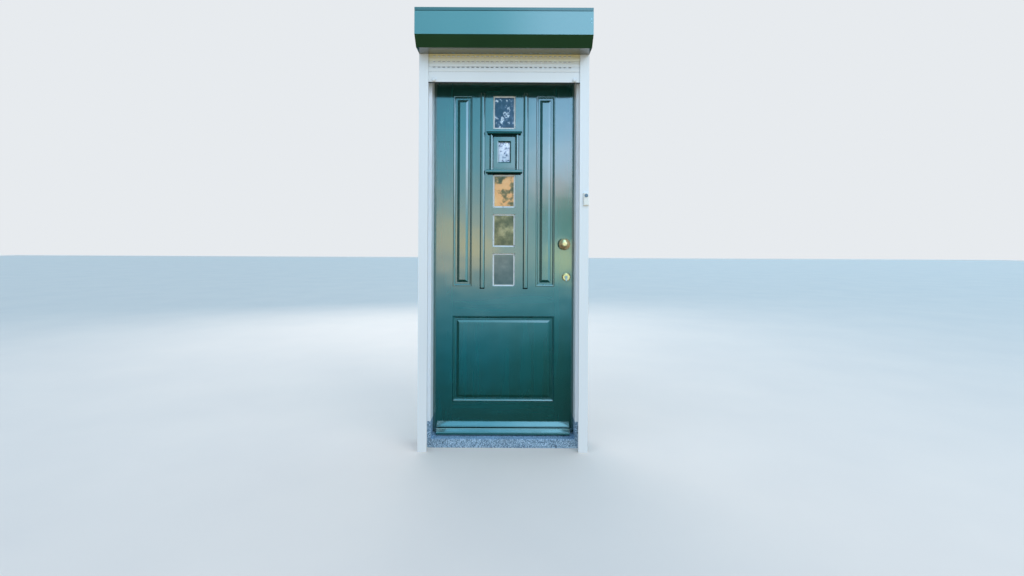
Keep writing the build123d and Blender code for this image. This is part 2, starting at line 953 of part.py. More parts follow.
def cylinder_plug():
    half = cam_thickness / 2
    nose_z = (cylinder_height - cam_radius + cam_tip_clearance, cylinder_height)
    nose_x = (lock_x - cam_half_width, lock_x + cam_half_width)
    cam = block(nose_x, (leaf_middle - half, leaf_middle + half), nose_z)
    slot_half = keyway_width / 2
    z = (cylinder_height - keyway_height / 2, cylinder_height + keyway_height / 2)
    y0, y1 = cylinder_span()
    mouths = (y0, y0 + keyway_depth), (y1 - keyway_depth, y1)
    slots = [block((lock_x - slot_half, lock_x + slot_half), y, z) for y in mouths]
    return all_cut(plug_bore(plug_radius) + cam, slots)


def rose_outline(hole):
    return [
        (hole, 0), (rose_radius, 0), (rose_radius, rose_edge),
        (rose_radius - rose_edge, rose_thickness - rose_crown),
        (rose_radius - 2 * rose_edge, rose_thickness), (hole, rose_thickness)
    ]


def cylinder_rose(face, outward):
    disc = turned(rose_outline(0), lock_x, cylinder_height, face, outward)
    reach = rose_thickness + overshoot
    return disc - cylinder_body((face - reach, face + reach), rose_fit)


def lever_rose():
    return turned(rose_outline(lever_neck_radius + rose_fit), lock_x, spindle_height, leaf_back, 1)


def lever_spindle():
    # The follower inside the lock and the square spindle that joins it to the handle.
    half = case_thickness / 2 - case_wall - bolt_slack
    ends = (lock_x, leaf_middle - half, spindle_height), (lock_x, leaf_middle + half, spindle_height)
    follower = rod(follower_radius, *ends)
    side = spindle_size / 2
    square = block((lock_x - side, lock_x + side), (leaf_middle, leaf_back + rose_thickness),
                   (spindle_height - side, spindle_height + side))
    return follower + square


def lever_handle():
    start, end = leaf_back + lever_neck_gap, leaf_back + lever_rise_from_face
    neck = rod(lever_neck_radius, (lock_x, start, spindle_height), (lock_x, end, spindle_height))
    half = lever_thickness / 2
    grip_y = end - half
    grip = rod(half, (lock_x, grip_y, spindle_height), (lock_x - lever_length, grip_y, spindle_height))
    tip = Pos(lock_x - lever_length, grip_y, spindle_height) * Sphere(half)
    shoulder = Pos(lock_x, grip_y, spindle_height) * Sphere(lever_neck_radius)
    return (neck + grip + tip + shoulder) - lever_spindle()


def door_knob():
    # A flattened ball on a neck that flares towards it, bored for its bolt.
    bolt, neck, full = knob_bolt_radius, knob_neck_radius, knob_radius
    foot, bore_end = knob_rose_thickness, knob_reach / 2
    middle = knob_reach - knob_depth / 2
    flare = (neck + knob_neck_flare, knob_reach - knob_depth + knob_neck_flare)
    diagonal = sqrt(0.5)
    back_shoulder = (full * cos(radians(30)), middle - knob_depth / 2 * sin(radians(30)))
    front_shoulder = (full * diagonal, middle + knob_depth / 2 * diagonal)
    neck_end = (neck, flare[1] - 2 * knob_neck_flare)
    outline = Polyline((0, bore_end), (bolt, bore_end), (bolt, foot), (neck, foot), neck_end, flare)
    outline += ThreePointArc(flare, back_shoulder, (full, middle))
    outline += ThreePointArc((full, middle), front_shoulder, (knob_flat, knob_reach))
    outline += Polyline((knob_flat, knob_reach), (0, knob_reach), (0, bore_end))
    knob = revolve(make_face(outline), Axis.Y)
    return Pos(knob_x, leaf_front, knob_height) * mirror(knob, about=Plane.XZ)


def knob_rose():
    outer, thick = knob_rose_radius, knob_rose_thickness
    edge = outer - thick / 2
    points = [(knob_bolt_radius, 0), (outer, 0), (outer, thick / 2), (edge, thick), (knob_bolt_radius, thick)]
    return turned(points, knob_x, knob_height, leaf_front, -1)


def knob_bolt():
    # The bolt that holds the knob through the stile, with its round nut on the inside.
    tip = leaf_front - knob_reach / 2
    bolt = rod(knob_bolt_radius, (knob_x, tip, knob_height), (knob_x, leaf_back, knob_height))
    face = (knob_x, leaf_back, knob_height)
    nut = rod(knob_nut_radius, face, (knob_x, leaf_back + knob_nut_thickness, knob_height))
    return bolt + nut


def hatch_outline():
    half = half_pane - hatch_side_gap
    return (-half, half, hatch_bottom + hatch_end_gap, hatch_top - hatch_end_gap)


def hatch_light(margin=0.0):
    half_x, half_z = hatch_glass_width / 2 + margin, hatch_glass_height / 2 + margin
    return (-half_x, half_x, hatch_middle - half_z, hatch_middle + half_z)


def hatch_back():
    return leaf_back - hatch_back_inset


def hatch_glass_plane():
    return glazing_front + hatch_glass_thickness


def hatch_frame():
    # A stepped frame: the front fills the opening, the flange behind it closes on the rebate.
    front = hatch_outline()
    flange = grown(pane_opening(panes_under_hatch_count), hatch_lap)
    light = hatch_light()
    seat = hatch_light(hatch_glass_seat)
    step = hatch_light(hatch_step)
    face = leaf_front + hatch_recess
    flange_front = glazing_front + hatch_flange_gap
    body = block(front[0:2], (face, flange_front), front[2:4])
    body += block(flange[0:2], (flange_front, hatch_back()), flange[2:4])
    body -= block(light[0:2], (face, hatch_back()), light[2:4])
    body -= tapered_field(step, light, face, face + hatch_step_depth)
    return body - block(seat[0:2], (hatch_glass_plane(), hatch_back()), seat[2:4])


def hatch_glass():
    pane = hatch_light(hatch_glass_seat - glass_clearance)
    return block(pane[0:2], (hatch_glass_plane(), hatch_glass_plane() + hatch_glass_thickness), pane[2:4])


def hatch_beads():
    seat = hatch_light(hatch_glass_seat)
    start = hatch_glass_plane() + hatch_glass_thickness
    wide, deep = hatch_glass_seat + hatch_bead_cover, hatch_back() - start
    outline = [(0, 0), (0, -deep), (wide, -deep), (wide, -hatch_bead_chamfer), (wide - hatch_bead_chamfer, 0)]
    return group(mitred_frame(seat, hatch_back(), 1, make_face(Polyline(*outline, close=True)), wide * 2))


def hatch_hinge_bottoms():
    half = hatch_hinge_length / 2
    return [hatch_middle + side * hatch_hinge_spread / 2 - half for side in (-1, 1)]


def hatch_axis_point(z):
    return (hatch_axis_x, hatch_axis_y, z)


def hatch_hinge_side(x, face, bottom, own):
    # One flap screwed on the inner face, with its share of the knuckles.
    top = bottom + hatch_hinge_length
    flap = block(x, (face, face + hatch_flap_thickness), (bottom, top))
    fixed = max(x) < hatch_axis_x
    axis_side = max(x) if fixed else min(x)
    turn = axis_side - hatch_flap_thickness if fixed else axis_side + hatch_flap_thickness
    knuckle_front, pin_front = hatch_axis_y - hatch_knuckle_radius, hatch_axis_y - hatch_pin_radius
    for low, high in knuckle_spans(bottom, hatch_hinge_length, own):
        flap += block(sorted((axis_side, hatch_axis_x)), (knuckle_front, pin_front), (low, high))
        flap += block(sorted((axis_side, turn)), (face, pin_front), (low, high))
        flap += rod(hatch_knuckle_radius, hatch_axis_point(low), hatch_axis_point(high))
    return flap - rod(hatch_pin_radius + hinge_fit, hatch_axis_point(bottom), hatch_axis_point(top))


def hatch_hinge_leaves():
    edge = hatch_axis_x - hatch_knuckle_radius - knuckle_gap
    x = (edge - hatch_flap_width, edge)
    flaps = [hatch_hinge_side(x, leaf_back, bottom, 0) for bottom in hatch_hinge_bottoms()]
    return group(flaps + hatch_pins())


def hatch_flaps():
    edge = hatch_axis_x + hatch_knuckle_radius + knuckle_gap
    x = (edge, edge + hatch_flap_width)
    return group([hatch_hinge_side(x, hatch_back(), bottom, 1) for bottom in hatch_hinge_bottoms()])


def hatch_pins():
    pins = []
    for bottom in hatch_hinge_bottoms():
        top = bottom + hatch_hinge_length
        pins.append(rod(hatch_pin_radius, hatch_axis_point(bottom), hatch_axis_point(top)))
    return pins


def hatch_knob():
    full, long = hatch_knob_radius, hatch_knob_length
    points = [
        (0, 0), (full * 0.9, 0), (full * 0.9, hatch_knob_foot), (full * 0.45, hatch_knob_neck),
        (full * 0.45, long / 2), (full, long * 0.7), (full, long * 0.85), (full * 0.6, long), (0, long)
    ]
    x = hatch_outline()[1] - full - hatch_knob_edge_distance
    return turned(points, x, hatch_middle, hatch_back(), 1)


def hatch_cornice():
    # A small crown: a flat top board with a slope below it, returned at both ends.
    low = hatch_top + cornice_gap
    high = low + cornice_height
    shoulder = low + cornice_foot_height
    top_board = shoulder + cornice_slope
    foot_x = (-cornice_foot_half_width, cornice_foot_half_width)
    foot_y = (leaf_front - cornice_foot_proud, leaf_front)
    crown_x = (-cornice_half_width, cornice_half_width)
    crown_y = (leaf_front - cornice_proud, leaf_front)
    lower = Plane.XY.offset(shoulder) * rectangle_from(foot_x, foot_y)
    upper = Plane.XY.offset(top_board) * rectangle_from(crown_x, crown_y)
    slope = loft([lower, upper], ruled=True)
    return block(foot_x, foot_y, (low, shoulder)) + slope + block(crown_x, crown_y, (top_board, high))


def rectangle_from(x, y):
    return Pos(sum(x) / 2, sum(y) / 2) * Rectangle(x[1] - x[0], y[1] - y[0])


def hatch_sill():
    # A rounded nose above a hollow, like a small window sill.
    high = hatch_bottom - sill_drop
    low = high - sill_height
    front = leaf_front - sill_proud
    nose_low = high - sill_nose_height
    nose_back = front + sill_nose_height / 2
    quirk = nose_back + sill_quirk
    foot = leaf_front - sill_foot_proud
    outline = Polyline((leaf_front, low), (leaf_front, high), (nose_back, high))
    outline += ThreePointArc((nose_back, high), (front, (high + nose_low) / 2), (nose_back, nose_low))
    outline += Line((nose_back, nose_low), (quirk, nose_low))
    hollow = (foot - (foot - quirk) / 3, low + (nose_low - low) / 2)
    outline += ThreePointArc((quirk, nose_low), hollow, (foot, low))
    outline += Line((foot, low), (leaf_front, low))
    return extrude(Plane.YZ.offset(-sill_half_width) * make_face(outline), 2 * sill_half_width)


def hatch_pilasters():
    half = pilaster_width / 2
    middle = half_pane + pilaster_offset + half
    z = (hatch_bottom - sill_drop, hatch_top + cornice_gap)
    edge = -pilaster_edge
    outline = Polyline((-half, edge), (-half, 0), (half, 0), (half, edge))
    outline += ThreePointArc((half, edge), (0, -pilaster_proud), (-half, edge))
    section = Plane.XY.offset(z[0]) * Pos(middle, leaf_front) * make_face(outline)
    return both_sides(extrude(section, z[1] - z[0]))


def right_packer():
    outer = rail_outer - rail_lap
    z = (plinth_top, head_top)
    return block((outer - packer_width, outer), (rail_back, frame_front), z)


def right_guide_rail():
    # An extrusion with a closed chamber at the wall side and a channel for the slats' ends.
    outer = block((rail_inner, rail_outer), (rail_front, rail_back), (0, box_bottom))
    half = rail_slot / 2
    z = (-overshoot, box_bottom + overshoot)
    x = (rail_inner - overshoot, rail_inner + rail_channel)
    slot = block(x, (curtain_middle - half, curtain_middle + half), z)
    return all_cut(outer, [slot, rail_chamber(z)])


def rail_chamber(z):
    x = (rail_inner + rail_channel + rail_wall, rail_outer - rail_wall)
    return block(x, (rail_front + rail_wall, rail_back - rail_wall), z)


def guide_brushes():
    # Brush strips on both walls of the channel, in each rail.
    x = (rail_inner + brush_inset, rail_inner + brush_inset + brush_height)
    half_slot, half_slat = rail_slot / 2, slat_thickness / 2 + brush_clearance
    z = (0, box_bottom)
    strips = []
    for side in (-1, 1):
        y = tuple(sorted((curtain_middle + side * half_slat, curtain_middle + side * half_slot)))
        strips += both_sides(block(x, y, z))
    return group(strips)


def box_outline(inset=0.0):
    # The shutter box seen from its end, in Y and Z, with its lower front corner cut off.
    cut = box_chamfer - inset * (2 - sqrt(2))
    front, back = box_front + inset, rail_back - inset
    low, high = box_bottom + inset, box_top - inset
    return [(front, low + cut), (front + cut, low), (back, low), (back, high), (front, high)]


def box_right_end():
    # The end plate, with a spigot that stands in the guide rail's chamber.
    plate = along_x(box_outline(box_sheet), (rail_outer - end_plate_thickness, rail_outer))
    chamber = rail_chamber((0, 1))
    low, high = chamber.bounding_box().min, chamber.bounding_box().max
    x = (low.X + spigot_clearance, high.X - spigot_clearance)
    y = (low.Y + spigot_clearance, high.Y - spigot_clearance)
    return plate + block(x, y, (box_bottom - spigot_length, box_bottom + 2 * box_sheet))


def box_left_end():
    return mirror(box_right_end(), about=Plane.YZ)


def box_span():
    return (-rail_outer, rail_outer)


def box_back_plate():
    return block(box_span(), (rail_back - box_sheet, rail_back), (box_bottom, box_top - box_sheet))


def box_lid():
    # The top sheet, folded down over the front.
    flange = box_top - lid_flange
    return along_x(
        [
            (box_front, flange), (box_front, box_top), (rail_back, box_top), (rail_back, box_top - box_sheet),
            (box_front + box_sheet, box_top - box_sheet), (box_front + box_sheet, flange)
        ],
        box_span(),
    )


def box_front_cover():
    # The front sheet, folded in below the lid's groove and up behind the lid's flange.
    top = box_top - lid_flange - lid_groove
    low = box_bottom + box_chamfer
    fold = box_front + 3 * box_sheet
    cover = along_x(
        [
            (box_front, low), (box_front, top), (fold, top), (fold, box_top - box_sheet),
            (fold + box_sheet, box_top - box_sheet), (fold + box_sheet, top - box_sheet),
            (box_front + box_sheet, top - box_sheet), (box_front + box_sheet, low)
        ],
        box_span(),
    )
    return all_cut(cover, both_sides(box_right_end()))


def box_inspection_cover():
    # The sloping sheet at the lower front, with a small fold inwards at each edge.
    t = box_sheet
    low, cut = box_bottom, box_chamfer
    corner = cut - t * (sqrt(2) - 1)
    return along_x(
        [
            (box_front, low + cut), (box_front + cut, low), (box_front + cut, low + t),
            (box_front + corner, low + t), (box_front + t, low + corner), (box_front + t, low + cut)
        ],
        box_span(),
    )


def box_bottom_profile():
    # The flat underside between the sloping sheet and the slot that the curtain leaves through.
    start = box_front + box_chamfer
    end = rail_front
    t = box_sheet
    low = box_bottom
    return along_x(
        [
            (start, low), (end, low), (end, low + box_slot_lip), (end - t, low + box_slot_lip),
            (end - t, low + t), (start, low + t)
        ],
        (-rail_outer + end_plate_thickness, rail_outer - end_plate_thickness),
    )


def octagon(flats):
    # One corner points at the inner end of the roll, which lies on it.
    corner = flats / 2 / cos(radians(22.5))
    angles = [radians(roll_end_angle + 45 * place) for place in range(8)]
    return make_face(Polyline(*[(corner * cos(angle), corner * sin(angle)) for angle in angles], close=True))


def roller_tube():
    half = rail_outer - end_plate_thickness - motor_head_length
    plane = Plane.YZ.offset(-half) * Pos(roll_middle, roll_height)
    wall = octagon(tube_flats) - octagon(tube_flats - 2 * tube_wall)
    return extrude(plane * wall, 2 * half)


def rolled_curtain():
    # The wound slats as one spiral that starts where the hanging curtain leaves it.
    steps = int(roll_turns * roll_steps_per_turn) + 1
    outer, inner = [], []
    for step in range(steps + 1):
        share = roll_turns * step / steps
        angle = radians(roll_start_angle + 360 * share)
        radius = roll_radius - roll_pitch * share
        outer.append((roll_middle + radius * cos(angle), roll_height + radius * sin(angle)))
        inside = radius - roll_layer
        inner.append((roll_middle + inside * cos(angle), roll_height + inside * sin(angle)))
    return along_x(outer + inner[::-1], (-curtain_half, curtain_half))


def roller_idler():
    # The plug in the tube's left end, bored for the bearing pin.
    start = -(rail_outer - end_plate_thickness - motor_head_length)
    plane = Plane.YZ.offset(start) * Pos(roll_middle, roll_height)
    bore = bearing_pin_radius + bearing_fit
    return extrude(plane * (octagon(tube_flats - 2 * tube_wall) - Circle(bore)), idler_length)


def roll_axis_point(x):
    return (x, roll_middle, roll_height)


def idler_bearing():
    start = -(rail_outer - end_plate_thickness)
    pin_end = start + motor_head_length + bearing_length
    boss_end = start + motor_head_length - motor_head_gap
    pin = rod(bearing_pin_radius, roll_axis_point(start), roll_axis_point(pin_end))
    return pin + rod(2 * bearing_pin_radius, roll_axis_point(start), roll_axis_point(boss_end))


def tube_motor():
    start = rail_outer - end_plate_thickness
    head_end = start - motor_head_length + motor_head_gap
    body_end = start - motor_length
    head = rod(motor_head_radius, roll_axis_point(head_end), roll_axis_point(start))
    return head + rod(motor_radius, roll_axis_point(body_end), roll_axis_point(start))


def slat(bottom):
    # A rounded front, a tongue on top and a groove below, so that the slats hook together.
    top = bottom + slat_pitch - slat_joint
    bulge = slat_wall_bulge
    half = slat_tongue / 2
    groove = half + slat_tongue_clearance
    outline = Polyline(
        (slat_front + bulge, bottom), (curtain_middle - groove, bottom),
        (curtain_middle - groove, bottom + slat_tongue_height),
        (curtain_middle + groove, bottom + slat_tongue_height), (curtain_middle + groove, bottom),
        (slat_back, bottom), (slat_back, top), (curtain_middle + half, top),
        (curtain_middle + half, top + slat_tongue_height), (curtain_middle - half, top + slat_tongue_height),
        (curtain_middle - half, top), (slat_front + bulge, top)
    )
    outline += ThreePointArc(
        (slat_front + bulge, top), (slat_front, (bottom + top) / 2), (slat_front + bulge, bottom)
    )
    return extrude(Plane.YZ.offset(-curtain_half) * make_face(outline), 2 * curtain_half)


def curtain_slats():
    first = end_slat_bottom + end_slat_height
    return group([slat(first + place * slat_pitch) for place in range(slat_count)])


def end_slat():
    top = end_slat_bottom + end_slat_height - slat_joint
    low = end_slat_bottom
    half = slat_tongue / 2
    seal = end_seal_width / 2
    points = [
        (slat_front, low), (curtain_middle - seal, low), (curtain_middle - seal, low + end_seal_seat),
        (curtain_middle + seal, low + end_seal_seat), (curtain_middle + seal, low), (slat_back, low),
        (slat_back, top), (curtain_middle + half, top), (curtain_middle + half, top + slat_tongue_height),
        (curtain_middle - half, top + slat_tongue_height), (curtain_middle - half, top), (slat_front, top)
    ]
    return along_x(points, (-curtain_half, curtain_half))


def end_slat_seal():
    seal = end_seal_width / 2
    y = (curtain_middle - seal, curtain_middle + seal)
    high = end_slat_bottom + end_seal_seat
    return block((-curtain_half, curtain_half), y, (high - end_seal_height, high))


def end_slat_stops():
    z = end_slat_bottom + stop_rise
    points = [
        (0, 0), (stop_neck_radius, 0), (stop_neck_radius, stop_neck_length),
        (stop_radius, stop_neck_length + stop_back_edge), (stop_radius, stop_proud - stop_front_edge),
        (stop_radius - stop_front_edge, stop_proud), (0, stop_proud)
    ]
    return group([turned(points, side * stop_x, z, slat_front, -1) for side in (-1, 1)])


def bell_middle():
    return rail_outer - bell_width / 2


def bell_button_axis():
    return bell_middle(), bell_bottom + bell_button_rise


def bell_hole(margin, y):
    x, z = bell_button_axis()
    return rod(bell_button_radius + margin, (x, y[0], z), (x, y[1], z))


def bell_plate():
    x = (rail_outer - bell_width, rail_outer)
    plate = block(x, (rail_front - bell_depth, rail_front), (bell_bottom, bell_bottom + bell_height))
    edges = plate.edges().group_by(Axis.Y)[0] + plate.edges().filter_by(Axis.Y)
    plate = fillet(edges, bell_edge_radius)
    front = rail_front - bell_depth - overshoot
    return plate - bell_hole(bell_button_clearance, (front, rail_front - bell_floor))


def bell_button():
    front = rail_front - bell_depth - bell_button_proud
    back = rail_front - bell_floor - bell_button_travel - bell_button_clearance
    button = bell_hole(0.0, (front, back))
    return fillet(button.edges().group_by(Axis.Y)[0], bell_button_edge)


nodes = {
    "threshold_stone": threshold_stone,
    "plinth_blocks": lambda: group(both_sides(plinth_block())),
    "left_jamb": left_jamb,
    "right_jamb": right_jamb,
    "frame_head": frame_head,
    "frame_gasket": frame_gasket,
    "strike_plate": strike_plate,
    "frame_hinge_leaves": frame_hinge_leaves,
    "hinge_pins": hinge_pins,
    "rail_packers": lambda: group(both_sides(right_packer())),
    "guide_rails": lambda: group(both_sides(right_guide_rail())),
    "guide_brushes": guide_brushes,
    "box_end_plates": lambda: group(both_sides(box_right_end())),
    "box_back_plate": box_back_plate,
    "box_front_cover": box_front_cover,
    "box_inspection_cover": box_inspection_cover,
    "box_bottom_profile": box_bottom_profile,
    "box_lid": box_lid,
    "tube_motor": tube_motor,
    "idler_bearing": idler_bearing,
    "roller_tube": lambda: group([roller_tube(), roller_idler()]),
    "rolled_curtain": rolled_curtain,
    "curtain_slats": curtain_slats,
    "end_slat": end_slat,
    "end_slat_seal": end_slat_seal,
    "end_slat_stops": end_slat_stops,
    "bell_plate": bell_plate,
    "bell_button": bell_button,
    "hinge_stile": hinge_stile,
    "lock_stile": lock_stile,
    "top_rail": top_rail,
    "lock_rail": lock_rail,
    "bottom_rail": bottom_rail,
    "muntins": lambda: group(both_sides(right_muntin())),
    "glazing_bars": glazing_bars,
    "side_panels": lambda: group([left_panel(), right_panel()]),
    "bottom_panel": bottom_panel,
    "panel_mouldings": panel_mouldings,
    "half_rounds": half_rounds,
    "glass_panes": glass_panes,
    "glazing_beads": glazing_beads,
    "hatch_surround": lambda: group([hatch_cornice(), hatch_sill()] + hatch_pilasters()),
    "hatch_hinge_leaves": hatch_hinge_leaves,
    "hatch_frame": hatch_frame,
    "hatch_glass": hatch_glass,
    "hatch_beads": hatch_beads,
    "hatch_flaps": hatch_flaps,
    "hatch_knob": hatch_knob,
    "weather_bar": weather_bar,
    "door_knob": door_knob,
    "knob_rose": knob_rose,
    "knob_bolt": knob_bolt,
    "lock_case": lock_case,
    "latch_bolt": latch_bolt,
    "dead_bolt": dead_bolt,
    "lock_cylinder": lock_cylinder,
    "cylinder_plug": cylinder_plug,
    "lock_roses": lambda: group([cylinder_rose(leaf_front, -1), cylinder_rose(leaf_back, 1), lever_rose()]),
    "lever_handle": lambda: group([lever_handle(), lever_spindle()]),
    "door_hinge_leaves": door_hinge_leaves,
}

os.makedirs("parts", exist_ok=True)
for name, make in nodes.items():
    export_step(make(), f"parts/{name}.step")
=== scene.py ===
import json
import math

import bmesh
import bpy
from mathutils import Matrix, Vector

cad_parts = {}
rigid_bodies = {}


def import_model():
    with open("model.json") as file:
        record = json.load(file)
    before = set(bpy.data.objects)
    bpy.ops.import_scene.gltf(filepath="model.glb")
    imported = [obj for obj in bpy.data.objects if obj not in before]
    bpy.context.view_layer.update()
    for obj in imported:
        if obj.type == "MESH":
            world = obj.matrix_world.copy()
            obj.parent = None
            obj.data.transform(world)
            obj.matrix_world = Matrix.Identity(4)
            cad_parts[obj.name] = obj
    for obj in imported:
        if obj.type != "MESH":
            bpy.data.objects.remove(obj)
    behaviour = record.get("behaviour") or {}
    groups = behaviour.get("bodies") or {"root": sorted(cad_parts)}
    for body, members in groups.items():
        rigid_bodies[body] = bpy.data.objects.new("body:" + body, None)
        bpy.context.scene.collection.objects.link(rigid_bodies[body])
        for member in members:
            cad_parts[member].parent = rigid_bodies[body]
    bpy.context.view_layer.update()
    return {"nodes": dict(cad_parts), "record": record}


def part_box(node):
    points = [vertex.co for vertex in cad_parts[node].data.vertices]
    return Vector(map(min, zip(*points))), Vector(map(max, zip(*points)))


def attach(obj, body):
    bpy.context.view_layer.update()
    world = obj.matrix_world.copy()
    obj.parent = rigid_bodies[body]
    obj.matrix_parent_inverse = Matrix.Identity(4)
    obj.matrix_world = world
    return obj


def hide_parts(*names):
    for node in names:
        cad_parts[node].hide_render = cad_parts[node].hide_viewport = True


for leftover in list(bpy.data.objects):  # the startup file's cube, lamp and camera
    bpy.data.objects.remove(leftover)

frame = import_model()
nodes = frame["nodes"]
scene = bpy.context.scene
print("frame loaded,", len(nodes), "nodes")


# Shader helpers

finishes = {}  # every material by its name
edgeRays = 4   # samples that soften an edge


def setInputs(node, values):
    for name, value in values.items():
        node.inputs[name.replace("_", " ")].default_value = value
    return node


def addNode(tree, kind, **inputs):
    return setInputs(tree.nodes.new("ShaderNode" + kind), inputs)


def wire(tree, source, target):
    tree.links.new(source, target)


def newFinish(name, color, roughness, **extra):
    material = bpy.data.materials.new(name)
    finishes[name] = material
    material.use_nodes = True
    shader = material.node_tree.nodes["Principled BSDF"]
    setInputs(shader, dict(extra, Base_Color=(*color, 1), Roughness=roughness))
    return material.node_tree, shader


def noise(tree, scale, stretch=(1, 1, 1), detail=3.0, roughness=0.5, shift=0.0):
    # noise in the object's own metres; stretch gives the scale along each axis
    coords = addNode(tree, "TexCoord")
    mapping = addNode(tree, "Mapping", Scale=[scale * s for s in stretch], Location=[shift] * 3)
    field = addNode(tree, "TexNoise", Scale=1.0, Detail=detail, Roughness=roughness)
    wire(tree, coords.outputs["Object"], mapping.inputs["Vector"])
    wire(tree, mapping.outputs["Vector"], field.inputs["Vector"])
    return field.outputs["Fac"]


def ramp(tree, factor, stops):
    # stops are (place, grey) or (place, color)
    node = addNode(tree, "ValToRGB")
    elements = node.color_ramp.elements
    elements.remove(elements[1])
    for place, value in stops:
        element = elements[0] if place == stops[0][0] else elements.new(place)
        element.position = place
        element.color = (value, value, value, 1) if isinstance(value, float) else (*value, 1)
    wire(tree, factor, node.inputs["Fac"])
    return node.outputs["Color"]


def blendColors(tree, factor, first, second, mode="MIX"):
    # a Mix node's sockets 0, 6 and 7 are the factor and the two colors, and its output 2 is the color
    node = tree.nodes.new("ShaderNodeMix")
    node.data_type = "RGBA"
    node.blend_type = mode
    for place, value in ((0, factor), (6, first), (7, second)):
        if isinstance(value, bpy.types.NodeSocket):
            wire(tree, value, node.inputs[place])
        else:
            node.inputs[place].default_value = value if isinstance(value, float) else (*value, 1)
    return node.outputs[2]


def bump(tree, height, depth, below=None):
    node = addNode(tree, "Bump", Strength=1.0, Distance=depth)
    wire(tree, height, node.inputs["Height"])
    if below is not None:
        wire(tree, below, node.inputs["Normal"])
    return node.outputs["Normal"]


def softEdge(tree, radius):
    node = addNode(tree, "Bevel", Radius=radius)
    node.samples = edgeRays
    return node.outputs["Normal"]


def axisOf(tree, kind, axis):
    # one axis of the place ("Object") or of the facing ("Normal"), on the object at rest
    coords = addNode(tree, "TexCoord")
    split = addNode(tree, "SeparateXYZ")
    wire(tree, coords.outputs[kind], split.inputs["Vector"])
    return split.outputs[axis]


def heightAbove(tree, low, high):
    # 0 at the height low, 1 at high
    span = addNode(tree, "MapRange", From_Min=low, From_Max=high)
    wire(tree, axisOf(tree, "Object", "Z"), span.inputs["Value"])
    return span.outputs["Result"]


# Finishes

doorPaint = {
    "color": (0.002, 0.073, 0.063),
    "deep": (0.006, 0.060, 0.044),      # the darker streaks
    "streakStops": (0.38, 0.62),        # strengths of the noise between which they fade out
    "streakScale": 16.0,
    "streakLong": 0.10,
    "dust": (0.05, 0.10, 0.10),
    "dustBand": (0.06, 0.30),           # heights between which the dust fades
    "dustLow": 0.12,
    "dustNoise": {"scale": 38.0, "detail": 4.0, "shift": 4.0},
    "roughness": 0.5,
    "coat": {"Coat_Weight": 1.0, "Coat_Roughness": 0.11, "Coat_IOR": 2.2, "Specular_IOR_Level": 0.15},
    "strokeFine": 900.0,
    "strokeLong": 14.0,
    "strokeDepth": 0.00006,
    "waveScale": 7.0,
    "waveDepth": 0.0009,
    "edge": 0.0007,
}
framePaint = dict(
    doorPaint, color=(0.89, 0.92, 0.97), deep=(0.85, 0.88, 0.93), dust=(0.42, 0.43, 0.42),
    dustBand=(0.16, 0.6), dustLow=0.2, roughness=0.4, waveDepth=0.0006,
    coat={"Coat_Weight": 0.3, "Coat_Roughness": 0.25, "Coat_IOR": 1.5, "Specular_IOR_Level": 0.5},
)
paintedShadeLook = dict(  # painted shade: near-black matt paint standing in for the shadow under mouldings, in quirks and in gaps
    doorPaint, color=(0.002, 0.020, 0.018), deep=(0.002, 0.016, 0.014), roughness=0.7,
    coat=dict(doorPaint["coat"], Coat_Weight=0.0),
)


def paintFinish(name, look, grain):
    # brushed-on paint: strokes along the grain, slight waves under the gloss, dust low down
    tree, shader = newFinish(name, look["color"], look["roughness"], **look["coat"])
    strokeWay, streakWay = [look["strokeFine"]] * 3, [1.0, 1.0, 1.0]
    strokeWay["xyz".index(grain)] = look["strokeLong"]
    streakWay["xyz".index(grain)] = look["streakLong"]
    start, end = look["streakStops"]
    streaks = ramp(tree, noise(tree, look["streakScale"], streakWay),
                   [(start, look["deep"]), (end, look["color"])])
    low = ramp(tree, heightAbove(tree, *look["dustBand"]), [(0.0, look["dustLow"]), (1.0, 0.0)])
    dust = addNode(tree, "Math")
    dust.operation = "MULTIPLY"
    wire(tree, low, dust.inputs[0])
    wire(tree, noise(tree, **look["dustNoise"]), dust.inputs[1])
    color = blendColors(tree, dust.outputs[0], streaks, look["dust"])
    wire(tree, color, shader.inputs["Base Color"])
    waves = bump(tree, noise(tree, look["waveScale"], detail=1.0), look["waveDepth"],
                 softEdge(tree, look["edge"]))
    strokes = bump(tree, noise(tree, 1.0, strokeWay, detail=2.0), look["strokeDepth"], waves)
    wire(tree, strokes, shader.inputs["Normal"])
    wire(tree, waves, shader.inputs["Coat Normal"])


paintFinish("doorPaintUpright", doorPaint, "z")
paintFinish("doorPaintLevel", doorPaint, "x")
# painted shade, put on the undersides, quirks and gaps of the leaf's mouldings
paintFinish("doorPaintedShade", paintedShadeLook, "x")
paintFinish("framePaintUpright", framePaint, "z")
paintFinish("framePaintLevel", framePaint, "x")


